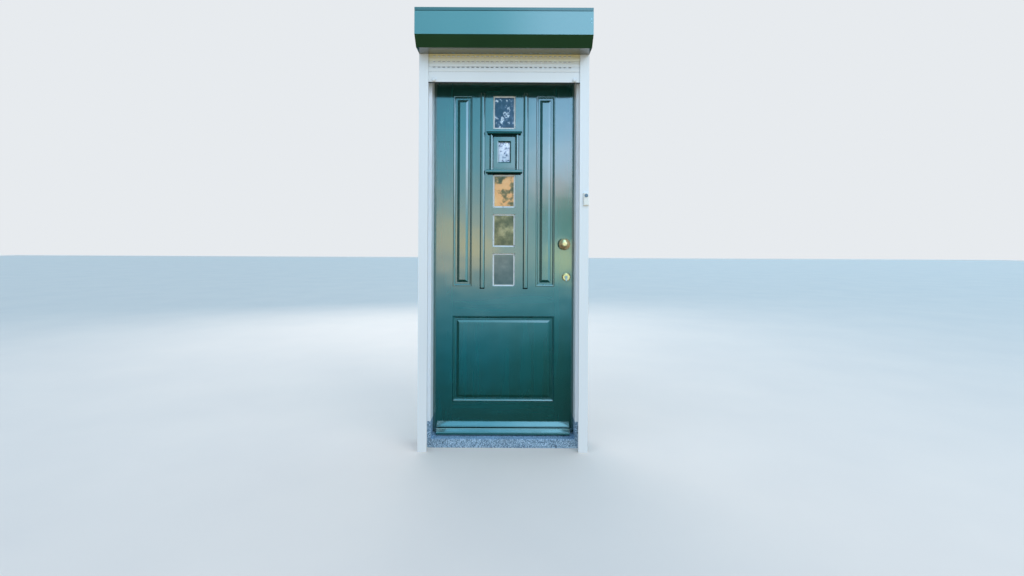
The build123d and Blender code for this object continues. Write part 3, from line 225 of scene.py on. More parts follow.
coatLook = {
    "toneScale": 2.2,
    "toneWay": (1, 1, 0.3),
    "toneStops": (0.3, 0.7),
    "speck": 2600.0,
    "speckDepth": 0.00004,
    "gloss": 0.10,
    "edge": 0.0008,
}
coats = {
    # color, darker tone, roughness, coat weight and coat IOR, and the edge where it is sharper
    "shutterWhite": ((0.80, 0.83, 0.86), (0.77, 0.80, 0.83), 0.42, 0.15, 1.5),
    "slatWhite": ((0.80, 0.83, 0.86), (0.76, 0.79, 0.82), 0.42, 0.15, 1.5, 0.0003),
    # painted shade for the slats' backs, slot walls and joints, standing in for the dark behind the
    # curtain
    "slatPaintedShade": ((0.16, 0.17, 0.17), (0.11, 0.12, 0.12), 0.60, 0.0, 1.5),
    "boxGreen": ((0.006, 0.085, 0.075), (0.005, 0.076, 0.068), 0.40, 1.0, 2.3),
    "lidGreen": ((0.005, 0.060, 0.055), (0.004, 0.052, 0.048), 0.40, 1.0, 1.8),
    "chamferGreen": ((0.022, 0.088, 0.032), (0.017, 0.074, 0.027), 0.40, 1.0, 1.6),
    "undersideGreen": ((0.010, 0.060, 0.050), (0.008, 0.050, 0.042), 0.40, 1.0, 2.4),
    "castPlate": ((0.32, 0.33, 0.34), (0.26, 0.27, 0.28), 0.45, 0.0, 1.5),
}


def coatedMetal(name, color, darker, roughness, coat, coatIor, edge=coatLook["edge"]):
    # powder coat: fine orange peel and a faint change of tone along the length
    tree, shader = newFinish(name, color, roughness, Coat_Weight=coat, Coat_IOR=coatIor,
                             Coat_Roughness=coatLook["gloss"])
    start, end = coatLook["toneStops"]
    tone = ramp(tree, noise(tree, coatLook["toneScale"], coatLook["toneWay"]),
                [(start, darker), (end, color)])
    peel = bump(tree, noise(tree, coatLook["speck"], detail=1.0), coatLook["speckDepth"],
                softEdge(tree, edge))
    wire(tree, tone, shader.inputs["Base Color"])
    wire(tree, peel, shader.inputs["Normal"])


for name, look in coats.items():
    coatedMetal(name, *look)

paintedSlatLight = {
    "inside": (0.035, 0.040, 0.040),
    "inwardStops": (0.6, 0.7),          # how far a face looks towards the door before it is painted as shade
    # painted shade and warm bounce light on the slats high up under the box
    "paintedWarmShade": (0.85, 0.75, 0.42),
    "paintedWarmShadeBand": (2.235, 2.295),
}


def paintSlatLight():
    # painted shade on the side that faces the door, and painted warm shade with bounce light high up
    # under the box
    tree = finishes["slatWhite"].node_tree
    socket = tree.nodes["Principled BSDF"].inputs["Base Color"]
    tone = socket.links[0].from_socket
    # the slats high up get the painted warm shade
    band = heightAbove(tree, *paintedSlatLight["paintedWarmShadeBand"])
    color = blendColors(tree, band, tone, paintedSlatLight["paintedWarmShade"])
    # faces that look towards the door get the painted shade
    start, end = paintedSlatLight["inwardStops"]
    inward = ramp(tree, axisOf(tree, "Normal", "Y"), [(start, 0.0), (end, 1.0)])
    wire(tree, blendColors(tree, inward, color, paintedSlatLight["inside"]), socket)


paintSlatLight()

stoneLook = {
    "roughness": 0.55,
    "grain": {"scale": 210.0, "detail": 2.0, "roughness": 0.7},
    "stops": [(0.36, (0.045, 0.070, 0.105)), (0.47, (0.15, 0.28, 0.42)), (0.60, (0.46, 0.62, 0.78))],
    "cloud": {"scale": 11.0, "detail": 4.0, "shift": 9.0},
    "cloudStops": [(0.3, 0.78), (0.7, 1.08)],
    "pits": {"scale": 700.0, "shift": 2.0},
    "pitDepth": 0.0004,
    "edge": 0.003,
}


def stoneFinish(name, look):
    tree, shader = newFinish(name, look["stops"][1][1], look["roughness"])
    speckle = ramp(tree, noise(tree, **look["grain"]), look["stops"])
    cloud = ramp(tree, noise(tree, **look["cloud"]), look["cloudStops"])
    pits = bump(tree, noise(tree, **look["pits"]), look["pitDepth"], softEdge(tree, look["edge"]))
    wire(tree, blendColors(tree, 1.0, speckle, cloud, "MULTIPLY"), shader.inputs["Base Color"])
    wire(tree, pits, shader.inputs["Normal"])


stoneFinish("speckledStone", stoneLook)

metalLook = {
    "cloud": {"scale": 34.0, "detail": 4.0},
    "toneStops": (0.35, 0.6),
    "glossStops": (0.3, 0.65),
    "duller": 1.7,                      # how much rougher the tarnished places are
    "lines": 1500.0,
    "edge": 0.0004,
}
metals = {
    # color, tarnish, roughness, metallic, way of the fine lines and their depth
    "polishedBrass": ((0.98, 0.67, 0.34), (0.80, 0.52, 0.25), 0.16, 0.72, (1, 1, 1), 0.00002),
    "satinSteel": ((0.62, 0.62, 0.61), (0.50, 0.50, 0.50), 0.30, 1.0, (1, 1, 0.03), 0.00004),
    "zincPlate": ((0.58, 0.60, 0.62), (0.46, 0.48, 0.52), 0.38, 1.0, (1, 1, 1), 0.00002),
}


def metalFinish(name, color, tarnish, roughness, metallic, way, depth):
    tree, shader = newFinish(name, color, roughness, Metallic=metallic)
    cloud = noise(tree, **metalLook["cloud"])
    tones = list(zip(metalLook["toneStops"], (tarnish, color)))
    glosses = list(zip(metalLook["glossStops"], (roughness * metalLook["duller"], roughness)))
    wire(tree, ramp(tree, cloud, tones), shader.inputs["Base Color"])
    wire(tree, ramp(tree, cloud, glosses), shader.inputs["Roughness"])
    lines = bump(tree, noise(tree, metalLook["lines"], way, detail=2.0), depth,
                 softEdge(tree, metalLook["edge"]))
    wire(tree, lines, shader.inputs["Normal"])


for name, look in metals.items():
    metalFinish(name, *look)

mouldedStops = (0.3, 0.7)
moulded = {
    # color, darker tone, roughness, scale of the grain and its depth, radius of the edges, coat
    "gasketRubber": ((0.028, 0.028, 0.028), (0.018, 0.018, 0.018), 0.75, 900.0, 0.00008, 0.0005, 0.0),
    "brushPile": ((0.05, 0.05, 0.05), (0.02, 0.02, 0.02), 0.9, 1800.0, 0.0005, 0.0003, 0.0),
    "bellWhite": ((0.80, 0.80, 0.77), (0.76, 0.76, 0.73), 0.25, 260.0, 0.00003, 0.001, 0.5),
    "bellBlue": ((0.10, 0.17, 0.26), (0.08, 0.14, 0.22), 0.25, 300.0, 0.00003, 0.0006, 0.5),
    "stopWhite": ((0.76, 0.80, 0.84), (0.72, 0.76, 0.80), 0.35, 300.0, 0.00003, 0.0008, 0.2),
}


def mouldedFinish(name, color, darker, roughness, scale, depth, edge, coat):
    tree, shader = newFinish(name, color, roughness, Coat_Weight=coat)
    grain = noise(tree, scale)
    tones = ramp(tree, grain, list(zip(mouldedStops, (darker, color))))
    wire(tree, tones, shader.inputs["Base Color"])
    wire(tree, bump(tree, grain, depth, softEdge(tree, edge)), shader.inputs["Normal"])


for name, look in moulded.items():
    mouldedFinish(name, *look)

glassLook = {
    "shader": {"IOR": 1.5, "Specular_IOR_Level": 0.1, "Coat_Weight": 0.5, "Coat_Roughness": 0.01},
    "roughness": 0.05,
    "clear": 0.3,
    "cloud": {"detail": 5.0, "roughness": 0.62},
}
glassTintsAndReflections = {
    # the glass's own tints and painted reflections of sky and street, by the strength of the cloud, then
    # the cloud's scale, way and shift, and how clear it is where that isn't as in glassLook
    "topPane": ([(0.40, (0.02, 0.05, 0.10)), (0.555, (0.04, 0.08, 0.16)), (0.60, (0.60, 0.68, 0.78)),
                 (0.70, (0.70, 0.78, 0.86))], 42, (1, 1, 0.8), 3.0),
    "upperPane": ([(0.36, (0.07, 0.08, 0.02)), (0.44, (0.28, 0.20, 0.07)), (0.50, (0.92, 0.46, 0.17)),
                   (0.70, (0.98, 0.58, 0.27))], 17, (1, 1, 1), 1.5),
    "middlePane": ([(0.36, (0.06, 0.08, 0.03)), (0.50, (0.19, 0.19, 0.09)), (0.62, (0.42, 0.38, 0.20)),
                    (0.74, (0.85, 0.84, 0.72))], 19, (1, 1, 1), 6.0),
    "lowerPane": ([(0.35, (0.09, 0.15, 0.15)), (0.60, (0.16, 0.22, 0.22)), (0.75, (0.30, 0.34, 0.32))],
                  11, (1, 1, 1), 8.0),
    "hatchGlass": ([(0.39, (0.04, 0.06, 0.14)), (0.45, (0.50, 0.56, 0.72)), (0.60, (0.74, 0.78, 0.88))],
                   75, (1, 1, 1), 1.0),
    # the bevel strip is near-white with no light through it: a painted reflection of the sky in the
    # facets
    "bevel": ([(0.30, (0.45, 0.44, 0.46)), (0.38, (0.88, 0.93, 0.99)), (0.60, (0.97, 1.0, 1.0))],
              55, (1, 1, 1), 2.0, 0.0),
    "bevelLine": ([(0.4, (0.06, 0.045, 0.03)), (0.6, (0.12, 0.09, 0.06))], 60, (1, 1, 1), 5.0),
}


def glassWithPaintedReflections(name, tintsAndReflections, scale, way, shift, clear=glassLook["clear"]):
    # old bevelled glass under a clean polished face; its clouded colour is partly its own tint and
    # partly painted reflection
    tree, shader = newFinish(name, tintsAndReflections[0][1], glassLook["roughness"], Transmission_Weight=clear,
                             **glassLook["shader"])
    cloud = noise(tree, scale, way, shift=shift, **glassLook["cloud"])
    wire(tree, ramp(tree, cloud, tintsAndReflections), shader.inputs["Base Color"])


for name, look in glassTintsAndReflections.items():
    glassWithPaintedReflections(name, *look)

finishOfSlot = {
    "stone": "speckledStone", "frame_paint": "framePaintUpright", "door_paint": "doorPaintUpright",
    "rubber": "gasketRubber", "brush": "brushPile", "steel": "satinSteel", "brass": "polishedBrass",
    "glass": "lowerPane", "packer_wood": "framePaintUpright", "shutter_white": "shutterWhite",
    "box_green": "boxGreen", "chamfer_dark": "chamferGreen", "cast_plate": "castPlate",
    "zinc": "zincPlate", "bell_white": "bellWhite", "bell_blue": "bellBlue", "white_stop": "stopWhite",
}
finishOfNode = {
    "frame_head": "framePaintLevel", "box_lid": "lidGreen", "end_slat": "slatWhite",
    "box_bottom_profile": "undersideGreen", "hatch_glass": "hatchGlass", "top_rail": "doorPaintLevel",
    "lock_rail": "doorPaintLevel", "bottom_rail": "doorPaintLevel", "glazing_bars": "doorPaintLevel",
}
slotOfNode = {part["node"]: part["material_slot"] for part in frame["record"]["subparts"]}
for nodeName, node in nodes.items():
    chosen = finishOfNode.get(nodeName, finishOfSlot[slotOfNode[nodeName]])
    for place in range(len(node.data.materials)):
        node.data.materials[place] = finishes[chosen]
print("finishes set,", len(finishes))


# Mesh helpers

seat = 0.001  # how far a piece sits in what carries it


def newPiece(name, mesh, finishNames, body, smoothAngle=None):
    # mesh is a bmesh; the piece rides on the body
    data = bpy.data.meshes.new(name)
    bmesh.ops.recalc_face_normals(mesh, faces=mesh.faces)
    mesh.to_mesh(data)
    mesh.free()
    piece = bpy.data.objects.new(name, data)
    scene.collection.objects.link(piece)
    for finishName in finishNames:
        data.materials.append(finishes[finishName])
    if smoothAngle is not None:
        data.shade_smooth()
        data.set_sharp_from_angle(angle=math.radians(smoothAngle))
    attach(piece, body)
    return piece


def setFinish(faces, place):
    for face in faces:
        face.material_index = place


def rectangle(left, right, bottom, top, y, inward=0.0):
    return [(left + inward, y, bottom + inward), (right - inward, y, bottom + inward),
            (right - inward, y, top - inward), (left + inward, y, top - inward)]


def footprint(half, front, back, z):
    return [(-half, front, z), (half, front, z), (half, back, z), (-half, back, z)]


def joinRings(mesh, first, second):
    # a strip of faces between two rings of as many verts
    strip = []
    for k in range(len(first)):
        after = (k + 1) % len(first)
        strip.append(mesh.faces.new((first[k], first[after], second[after], second[k])))
    return strip


def addLoft(mesh, rings):
    # the strips between rings of as many points, and last the two end faces
    made = [[mesh.verts.new(point) for point in ring] for ring in rings]
    strips = [joinRings(mesh, first, second) for first, second in zip(made, made[1:])]
    return strips + [[mesh.faces.new(made[0]), mesh.faces.new(made[-1])]]


def addSlottedBar(mesh, outline, stations, cutStations, frontEdge, backEdge):
    # A bar along X with the section outline (y, z). After each of the cutStations a hole goes through
    # it, from the section's edge frontEdge, which runs up, to backEdge, which runs down.
    rings = [[mesh.verts.new((x, y, z)) for y, z in outline] for x in stations]
    count = len(outline)
    for place, (first, second) in enumerate(zip(rings, rings[1:])):
        cut = place in cutStations
        for edge in range(count):
            if not (cut and edge in (frontEdge, backEdge)):
                after = (edge + 1) % count
                mesh.faces.new((first[edge], first[after], second[after], second[edge]))
        if cut:
            for near, far in ((frontEdge, backEdge + 1), (frontEdge + 1, backEdge)):
                mesh.faces.new((first[near], second[near], second[far], first[far]))
            for ring in (first, second):
                mesh.faces.new([ring[k] for k in (frontEdge, frontEdge + 1, backEdge, backEdge + 1)])
    for ring in (rings[0], rings[-1]):
        mesh.faces.new(ring)


# Shutter

slatLook = {
    "count": 5,
    "pitch": 0.0320,
    "joint": 0.0019,
    "bulge": 0.0012,
    "crownSteps": 8,
    "groove": 0.0018,        # half the width of the groove below and of the tongue above
    "tongue": 0.0015,
    "tongueHigh": 0.004,
    "slotLength": 0.016,
    "slotPitch": 0.028,
    "slotLow": 0.0054,       # the slot's lower and upper edge, down from the slat's top
    "slotHigh": 0.0016,
    "endMargin": 0.05,
    "facing": 0.7,           # a face that looks back, up or down by more than this is painted as shade
    "smooth": 25,            # in degrees, as on all pieces below
}


def slatSection(front, back, base, top, look):
    # The corners (y, z) of one slat, crowned front, tongue on top, back and groove, and the numbers of
    # the slot's front and back edge in them.
    middle, edge = (front + back) / 2, front + look["bulge"]
    slotLow, slotHigh = top - look["slotLow"], top - look["slotHigh"]
    groove, tongue, tall = look["groove"], look["tongue"], look["tongueHigh"]
    parts = [step / look["crownSteps"] for step in range(1, look["crownSteps"])]
    crown = [(edge - look["bulge"] * math.sin(math.pi * t), base + (slotLow - base) * t) for t in parts]
    outline = [
        (edge, base), *crown, (edge, slotLow), (edge, slotHigh), (edge, top),
        (middle - tongue, top), (middle - tongue, top + tall), (middle + tongue, top + tall),
        (middle + tongue, top), (back, top), (back, slotHigh), (back, slotLow), (back, base),
        (middle + groove, base), (middle + groove, base + tall), (middle - groove, base + tall),
        (middle - groove, base),
    ]
    return outline, outline.index((edge, slotLow)), outline.index((back, slotHigh))


def buildSlats():
    # the hanging slats with the rows of small air slots above each joint
    low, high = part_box("curtain_slats")
    stations, cuts = [low.x], set()
    x = low.x + slatLook["endMargin"]
    while x + slatLook["slotLength"] < high.x - slatLook["endMargin"]:
        cuts.add(len(stations))
        stations += [x, x + slatLook["slotLength"]]
        x += slatLook["slotPitch"]
    stations.append(high.x)
    mesh = bmesh.new()
    for place in range(slatLook["count"]):
        base = low.z + place * slatLook["pitch"]
        top = base + slatLook["pitch"] - slatLook["joint"]
        base += slatLook["joint"] if place == 0 else 0
        outline, frontEdge, backEdge = slatSection(low.y, high.y, base, top, slatLook)
        addSlottedBar(mesh, outline, stations, cuts, frontEdge, backEdge)
    bmesh.ops.recalc_face_normals(mesh, faces=mesh.faces)
    # painted shade on the backs, the slot walls and the joints
    facing = slatLook["facing"]
    setFinish([face for face in mesh.faces
               if face.normal.y > facing or abs(face.normal.z) > facing], 1)
    finishNames = ["slatWhite", "slatPaintedShade"]
    piece = newPiece("slatsWithAirSlots", mesh, finishNames, "curtain",
                     slatLook["smooth"])
    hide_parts("curtain_slats")


buildSlats()
print("slats built")


# Leaf

# the second paint of each pair is the painted shade
uprightPaints = ["doorPaintUpright", "doorPaintedShade"]
levelPaints = ["doorPaintLevel", "doorPaintedShade"]

panelLook = {
    "steps": 16,
    # pairs of how far in from the stile and how deep under the leaf's face
    "quirk": [(-0.001, 0.0080), (-0.001, 0.0060), (0.0024, 0.0060)],
    "round": [(0.0024, 0.0010), (0.0120, 0.0070)],
    "foot": [(0.0140, 0.0070), (0.0140, 0.0100), (0.0232, 0.0100), (0.0232, 0.0112),
             (0.0250, 0.0112)],
    "slope": [(0.0250, 0.0096), (0.0385, 0.0056)],
    "wideSlope": [(0.0250, 0.0096), (0.0385, 0.0060), (0.0620, 0.0054)],
    "lineInFoot": 2,         # the foot's corner where the thin line of painted shade begins
    "smooth": 9,
}


def buildPanels():
    # Each panel is one loft on both faces: quirk, moulding, flat, thin line, slope and field. The quirk
    # and the thin line are painted shade.
    leafLow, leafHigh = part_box("lock_rail")
    low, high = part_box("panel_mouldings")
    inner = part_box("muntins")[1].x
    openings = [
        ((low.x, -inner, leafHigh.z, high.z), panelLook["slope"]),
        ((inner, high.x, leafHigh.z, high.z), panelLook["slope"]),
        ((low.x, high.x, low.z, leafLow.z), panelLook["wideSlope"]),
    ]
    (startIn, startDeep), (endIn, endDeep) = panelLook["round"]
    turns = [math.pi / 2 * step / panelLook["steps"] for step in range(panelLook["steps"] + 1)]
    section = panelLook["quirk"] + [(startIn + (endIn - startIn) * math.sin(turn),
                                     startDeep + (endDeep - startDeep) * (1 - math.cos(turn)))
                                    for turn in turns]
    lineStart = len(section) + panelLook["lineInFoot"]
    paintedShadeParts = {0, 1, 2, lineStart, lineStart + 1, lineStart + 2}  # strips of the quirk and of the line, painted as shade
    mesh = bmesh.new()
    for sides, slope in openings:
        whole = section + panelLook["foot"] + slope
        front = [rectangle(*sides, leafLow.y + deep, inward) for inward, deep in whole]
        back = [rectangle(*sides, leafHigh.y - deep, inward) for inward, deep in whole]
        strips = addLoft(mesh, front[::-1] + back)
        # the quirk's and the thin line's strips get the painted shade
        for k, strip in enumerate(strips[:-1]):
            if len(whole) - 2 - k in paintedShadeParts or k - len(whole) in paintedShadeParts:
                setFinish(strip, 1)
    piece = newPiece("fieldedPanels", mesh, uprightPaints, "leaf", panelLook["smooth"])
    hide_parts("side_panels", "bottom_panel", "panel_mouldings")


surroundLook = {
    # sections are pairs of how far out of the leaf and how far down from the top
    "cornice": {
        "section": [(0.0, 0.0), (0.0215, 0.0004), (0.0242, 0.0014), (0.0266, 0.0085), (0.0270, 0.0100),
                    (0.0222, 0.0108), (0.0218, 0.0120), (0.0214, 0.0190), (0.0200, 0.0225),
                    (0.0170, 0.0250), (0.0138, 0.0262), (0.0120, 0.0272), (0.0, 0.0275)],
        "half": 0.1075,
        "taper": 0.83,       # how much the ends go in where the section does
    },
    "sill": {
        "section": [(0.0, 0.0), (0.0150, 0.0012), (0.0205, 0.0026), (0.0235, 0.0050), (0.0248, 0.0085),
                    (0.0250, 0.0130), (0.0246, 0.0175), (0.0232, 0.0208), (0.0110, 0.0218),
                    (0.0070, 0.0228), (0.0050, 0.0240), (0.0050, 0.0310), (0.0, 0.0310)],
        "half": 0.1110,
        "taper": 0.5,
    },
    "sillHigh": 0.0270,      # the sill's top above the surround's lowest point
    "sillShade": 0.0046,     # how high the painted shade on its foot reaches
    "edgeIn": 0.0005,        # the sections' ends lie this far in the leaf
    "underside": -0.6,       # a face that looks down by more than this is painted as shade
    "pilaster": {"middle": 0.0785, "half": 0.0115, "proud": 0.0100, "steps": 16},
    "shadowBlock": {"half": 0.0695, "low": 1.8565, "high": 1.8660, "proud": 0.0125, "chamfer": 0.001},
    "smooth": 40,
}


def buildSurround():
    # cornice and sill with returned ends, the pilasters between them, and over the hatch a thin block
    # painted all in shade that stands in for the shadow under the cornice
    low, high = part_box("hatch_surround")
    leafFront = high.y
    tops = {"cornice": high.z, "sill": low.z + surroundLook["sillHigh"]}
    mesh = bmesh.new()
    for part, top in tops.items():
        look = surroundLook[part]
        proudest = max(proud for proud, _ in look["section"])
        rings = []
        for proud, drop in look["section"]:
            wide, z = look["half"] - look["taper"] * (proudest - proud), top - drop
            y = leafFront - proud + (surroundLook["edgeIn"] if proud == 0 else 0)
            rings.append(footprint(wide, y, leafFront + seat, z))
        addLoft(mesh, rings)
    look = surroundLook["pilaster"]
    corniceLow = tops["cornice"] - surroundLook["cornice"]["section"][-1][1]
    turns = [math.pi * k / look["steps"] for k in range(look["steps"] + 1)]
    outline = [(look["middle"] + look["half"] * math.cos(a), look["proud"] * math.sin(a)) for a in turns]
    outline += [(outline[-1][0], -seat), (outline[0][0], -seat)]
    for side in (-1, 1):
        addLoft(mesh, [[(side * x, leafFront - y, z) for x, y in outline]
                       for z in (tops["sill"] - seat, corniceLow + seat)])
    bmesh.ops.recalc_face_normals(mesh, faces=mesh.faces)
    # painted shade on the faces that look down and on the sill's foot
    setFinish([face for face in mesh.faces if face.normal.z < surroundLook["underside"]
               or face.calc_center_median().z < low.z + surroundLook["sillShade"]], 1)
    # a thin block over the hatch's top, all painted shade: the shadow under the cornice
    look = surroundLook["shadowBlock"]
    half, front, chamfer = look["half"], leafFront - look["proud"], look["chamfer"]
    places = ((front, look["high"]), (front, look["low"] + chamfer), (front + chamfer, look["low"]))
    for strip in addLoft(mesh, [footprint(half, y, leafFront + seat, z) for y, z in places]):
        setFinish(strip, 1)
    smooth = surroundLook["smooth"]
    piece = newPiece("hatchSurround", mesh, levelPaints, "leaf", smooth)
    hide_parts("hatch_surround")


halfRoundLook = {
    "middle": 0.131,
    "half": 0.0150,
    "proud": 0.0100,
    "steps": 24,
    "squareness": 4,         # 2 is a true half-round, more is fuller at the sides
    "lowEnd": (0.0080, 0.30),    # length of the sloped end and its size at the tip
    "topEnd": (0.0015, 0.90),
    "smooth": 30,
}


def buildHalfRounds():
    low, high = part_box("half_rounds")
    look = halfRoundLook
    (lowLong, lowSize), (topLong, topSize) = look["lowEnd"], look["topEnd"]
    ends = ((low.z, lowSize), (low.z + lowLong, 1.0), (high.z - topLong, 1.0), (high.z, topSize))
    across = [math.sin(math.pi * (k / look["steps"] - 0.5)) for k in range(look["steps"] + 1)]
    mesh = bmesh.new()
    for side in (-1, 1):
        rings = []
        for z, size in ends:
            ring = [(side * look["middle"] + look["half"] * u, high.y - size * look["proud"]
                     * math.sqrt(max(0.0, 1 - u ** look["squareness"])), z) for u in across]
            rings.append(ring + [(ring[-1][0], high.y + seat, z), (ring[0][0], high.y + seat, z)])
        strips = addLoft(mesh, rings)
        # the sloped lower end and both end faces are painted shade
        setFinish(strips[0] + strips[-1], 1)
    piece = newPiece("halfRounds", mesh, uprightPaints, "leaf", look["smooth"])
    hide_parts("half_rounds")


weatherBarLook = {
    # depth and height of the section's corners: hood slope, bead, quirk, second slope, lip, drip groove
    "section": [(0.0285, 0.1260), (0.0250, 0.1235), (0.0050, 0.1035), (0.0025, 0.1020), (0.0010, 0.0998),
                (0.0014, 0.0975), (0.0034, 0.0962), (0.0034, 0.0938), (-0.0040, 0.0925),
                (-0.0062, 0.0905), (-0.0066, 0.0885), (-0.0212, 0.0765), (-0.0240, 0.0752),
                (-0.0256, 0.0730), (-0.0260, 0.0700), (-0.0260, 0.0600), (-0.0240, 0.0580),
                (-0.0150, 0.0580), (-0.0150, 0.0620), (-0.0110, 0.0620), (-0.0110, 0.0580),
                (0.0285, 0.0580)],
    "paintedShadeParts": (6, 7, 15, 16, 17, 18, 19, 20),  # the quirk, the lip's lower edge and all under it, painted as shade
    "smooth": 12,
}


def buildWeatherBar():
    low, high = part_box("weather_bar")
    mesh = bmesh.new()
    section = weatherBarLook["section"]
    strips = addLoft(mesh, [[(x, y, z) for y, z in section] for x in (low.x, high.x)])
    # these strips get the painted shade
    setFinish([strips[0][k] for k in weatherBarLook["paintedShadeParts"]], 1)
    smooth = weatherBarLook["smooth"]
    piece = newPiece("weatherBar", mesh, levelPaints, "leaf", smooth)
    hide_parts("weather_bar")


paneLook = {
    "bottoms": {"lowerPane": 0.945, "middlePane": 1.184, "upperPane": 1.423, "topPane": 1.901},
    "half": 0.0675,
    "high": 0.200,
    "bevel": 0.0085,
    "line": 0.0010,          # width of the fine line inside the bevel
    "drop": 0.0015,          # how far the bevel falls towards the edge
}


def buildPanes():
    # a thin edge in the rebate, a sloped strip all round, a fine line and the flat face
    low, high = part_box("glass_panes")
    half, bevel = paneLook["half"], paneLook["bevel"]
    hidden, sunk = high.x - half, low.y + paneLook["drop"]
    profile = ((-hidden, high.y), (-hidden, sunk), (0.0, sunk), (bevel, low.y),
               (bevel + paneLook["line"], low.y))
    mesh = bmesh.new()
    for place, bottom in enumerate(paneLook["bottoms"].values()):
        sides = (-half, half, bottom, bottom + paneLook["high"])
        strips = addLoft(mesh, [rectangle(*sides, y, inward) for inward, y in profile])
        setFinish(strips[3], 1)
        setFinish(strips[4], place + 2)
    finishNames = ["bevel", "bevelLine", *paneLook["bottoms"]]
    piece = newPiece("bevelledPanes", mesh, finishNames, "leaf")
    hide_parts("glass_panes")


buildPanels()
buildSurround()
buildHalfRounds()
buildWeatherBar()
buildPanes()
print("leaf dressed")


# Screws of the shutter's box

screwLook = {
    "places": [(0.479, 2.437), (0.479, 2.415)],  # X and Z on the front cover
    "radius": 0.0035,
    "proud": 0.0004,
    "sides": 28,
    # parts of the radius: the cross arms' length and half width, the flat face, and the rim's two steps
    "arm": 0.62,
    "armHalf": 0.14,
    "flat": 0.92,
    "rimStep": 0.08,
    "rootStep": 0.35,
    "crossTaper": 0.8,
    "crossDeep": 0.0006,
    "turn": 0.5,             # each cross stands this much further round, in radians
    "facing": (0, -1, 0),
    "smooth": 30,
}


def addScrew(mesh, place, turn):
    # a flat screw head with a cross recess; place is the middle of its face
    look = screwLook
    radius = look["radius"]
    angles = [math.tau * k / look["sides"] for k in range(look["sides"])]
    circle = [(radius * math.cos(a), radius * math.sin(a)) for a in angles]
    arm, half = radius * look["arm"], radius * look["armHalf"]
    cross = [(arm, half), (half, half), (half, arm), (-half, arm), (-half, half), (-arm, half),
             (-arm, -half), (-half, -half), (-half, -arm), (half, -arm), (half, -half), (arm, -half)]
    cross = [(x * math.cos(turn) - y * math.sin(turn), x * math.sin(turn) + y * math.cos(turn))
             for x, y in cross]
    spin = Vector(look["facing"]).to_track_quat("Z", "Y").to_matrix().to_4x4()
    spin.translation = Vector(place)

    def loop(points, size, depth):
        return [mesh.verts.new(spin @ Vector((x * size, y * size, depth))) for x, y in points]

    rim, outer = loop(circle, look["flat"], 0.0), loop(circle, 1.0, -radius * look["rimStep"])
    root = loop(circle, 1.0, -radius * look["rootStep"])
    inner, bottom = loop(cross, 1.0, 0.0), loop(cross, look["crossTaper"], -look["crossDeep"])
    edges = [mesh.edges.new(pair) for ring in (rim, inner) for pair in zip(ring, ring[1:] + ring[:1])]
    bmesh.ops.triangle_fill(mesh, edges=edges, use_beauty=True)
    for first, second in ((rim, outer), (outer, root), (inner, bottom)):
        joinRings(mesh, first, second)
    mesh.faces.new(bottom)
    mesh.faces.new(root)


def buildScrews():
    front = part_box("box_front_cover")[0].y
    mesh = bmesh.new()
    for k, (x, z) in enumerate(screwLook["places"]):
        addScrew(mesh, (x, front - screwLook["proud"], z), screwLook["turn"] * k)
    newPiece("coverScrews", mesh, ["zincPlate"], "frame", screwLook["smooth"])


buildScrews()
print("screws set")


# Studio

cameraLook = {
    "place": (0.0462, -3.215, 1.2098),
    "focal": 533.6,            # in pixels of the picture
    "picture": (1024, 576),
    "middle": (511.4, 242.7),  # where the level line of sight meets the picture
    "lean": -0.284,            # degrees
    "sensor": 36,
    "reach": 100,
}


def setCamera():
    wide, high = cameraLook["picture"]
    data = bpy.data.cameras.new("camera")
    data.sensor_width = cameraLook["sensor"]
    data.lens = cameraLook["focal"] * cameraLook["sensor"] / wide
    data.shift_x = (wide / 2 - cameraLook["middle"][0]) / wide
    data.shift_y = (cameraLook["middle"][1] - high / 2) / wide
    data.clip_end = cameraLook["reach"]
    camera = bpy.data.objects.new("camera", data)
    scene.collection.objects.link(camera)
    camera.location = cameraLook["place"]
    camera.rotation_euler = (math.radians(90), math.radians(cameraLook["lean"]), 0)
    scene.camera = camera


floorLook = {
    "color": (0.86, 0.71, 0.60),
    "worn": (0.82, 0.68, 0.58),
    "wornStops": (0.3, 0.7),
    "cloud": {"scale": 1.2, "detail": 4.0},
    "roughness": 0.8,
    "half": 40.0,
}


def buildFloor():
    half = floorLook["half"]
    mesh = bmesh.new()
    corners = ((-half, -half, 0), (half, -half, 0), (half, half, 0), (-half, half, 0))
    mesh.faces.new([mesh.verts.new(corner) for corner in corners])
    data = bpy.data.meshes.new("floor")
    mesh.to_mesh(data)
    mesh.free()
    floor = bpy.data.objects.new("floor", data)
    scene.collection.objects.link(floor)
    tree, shader = newFinish("floorFinish", floorLook["color"], floorLook["roughness"])
    stops = list(zip(floorLook["wornStops"], (floorLook["worn"], floorLook["color"])))
    wire(tree, ramp(tree, noise(tree, **floorLook["cloud"]), stops), shader.inputs["Base Color"])
    data.materials.append(finishes["floorFinish"])
    floor.visible_glossy = False
    floor.visible_diffuse = False


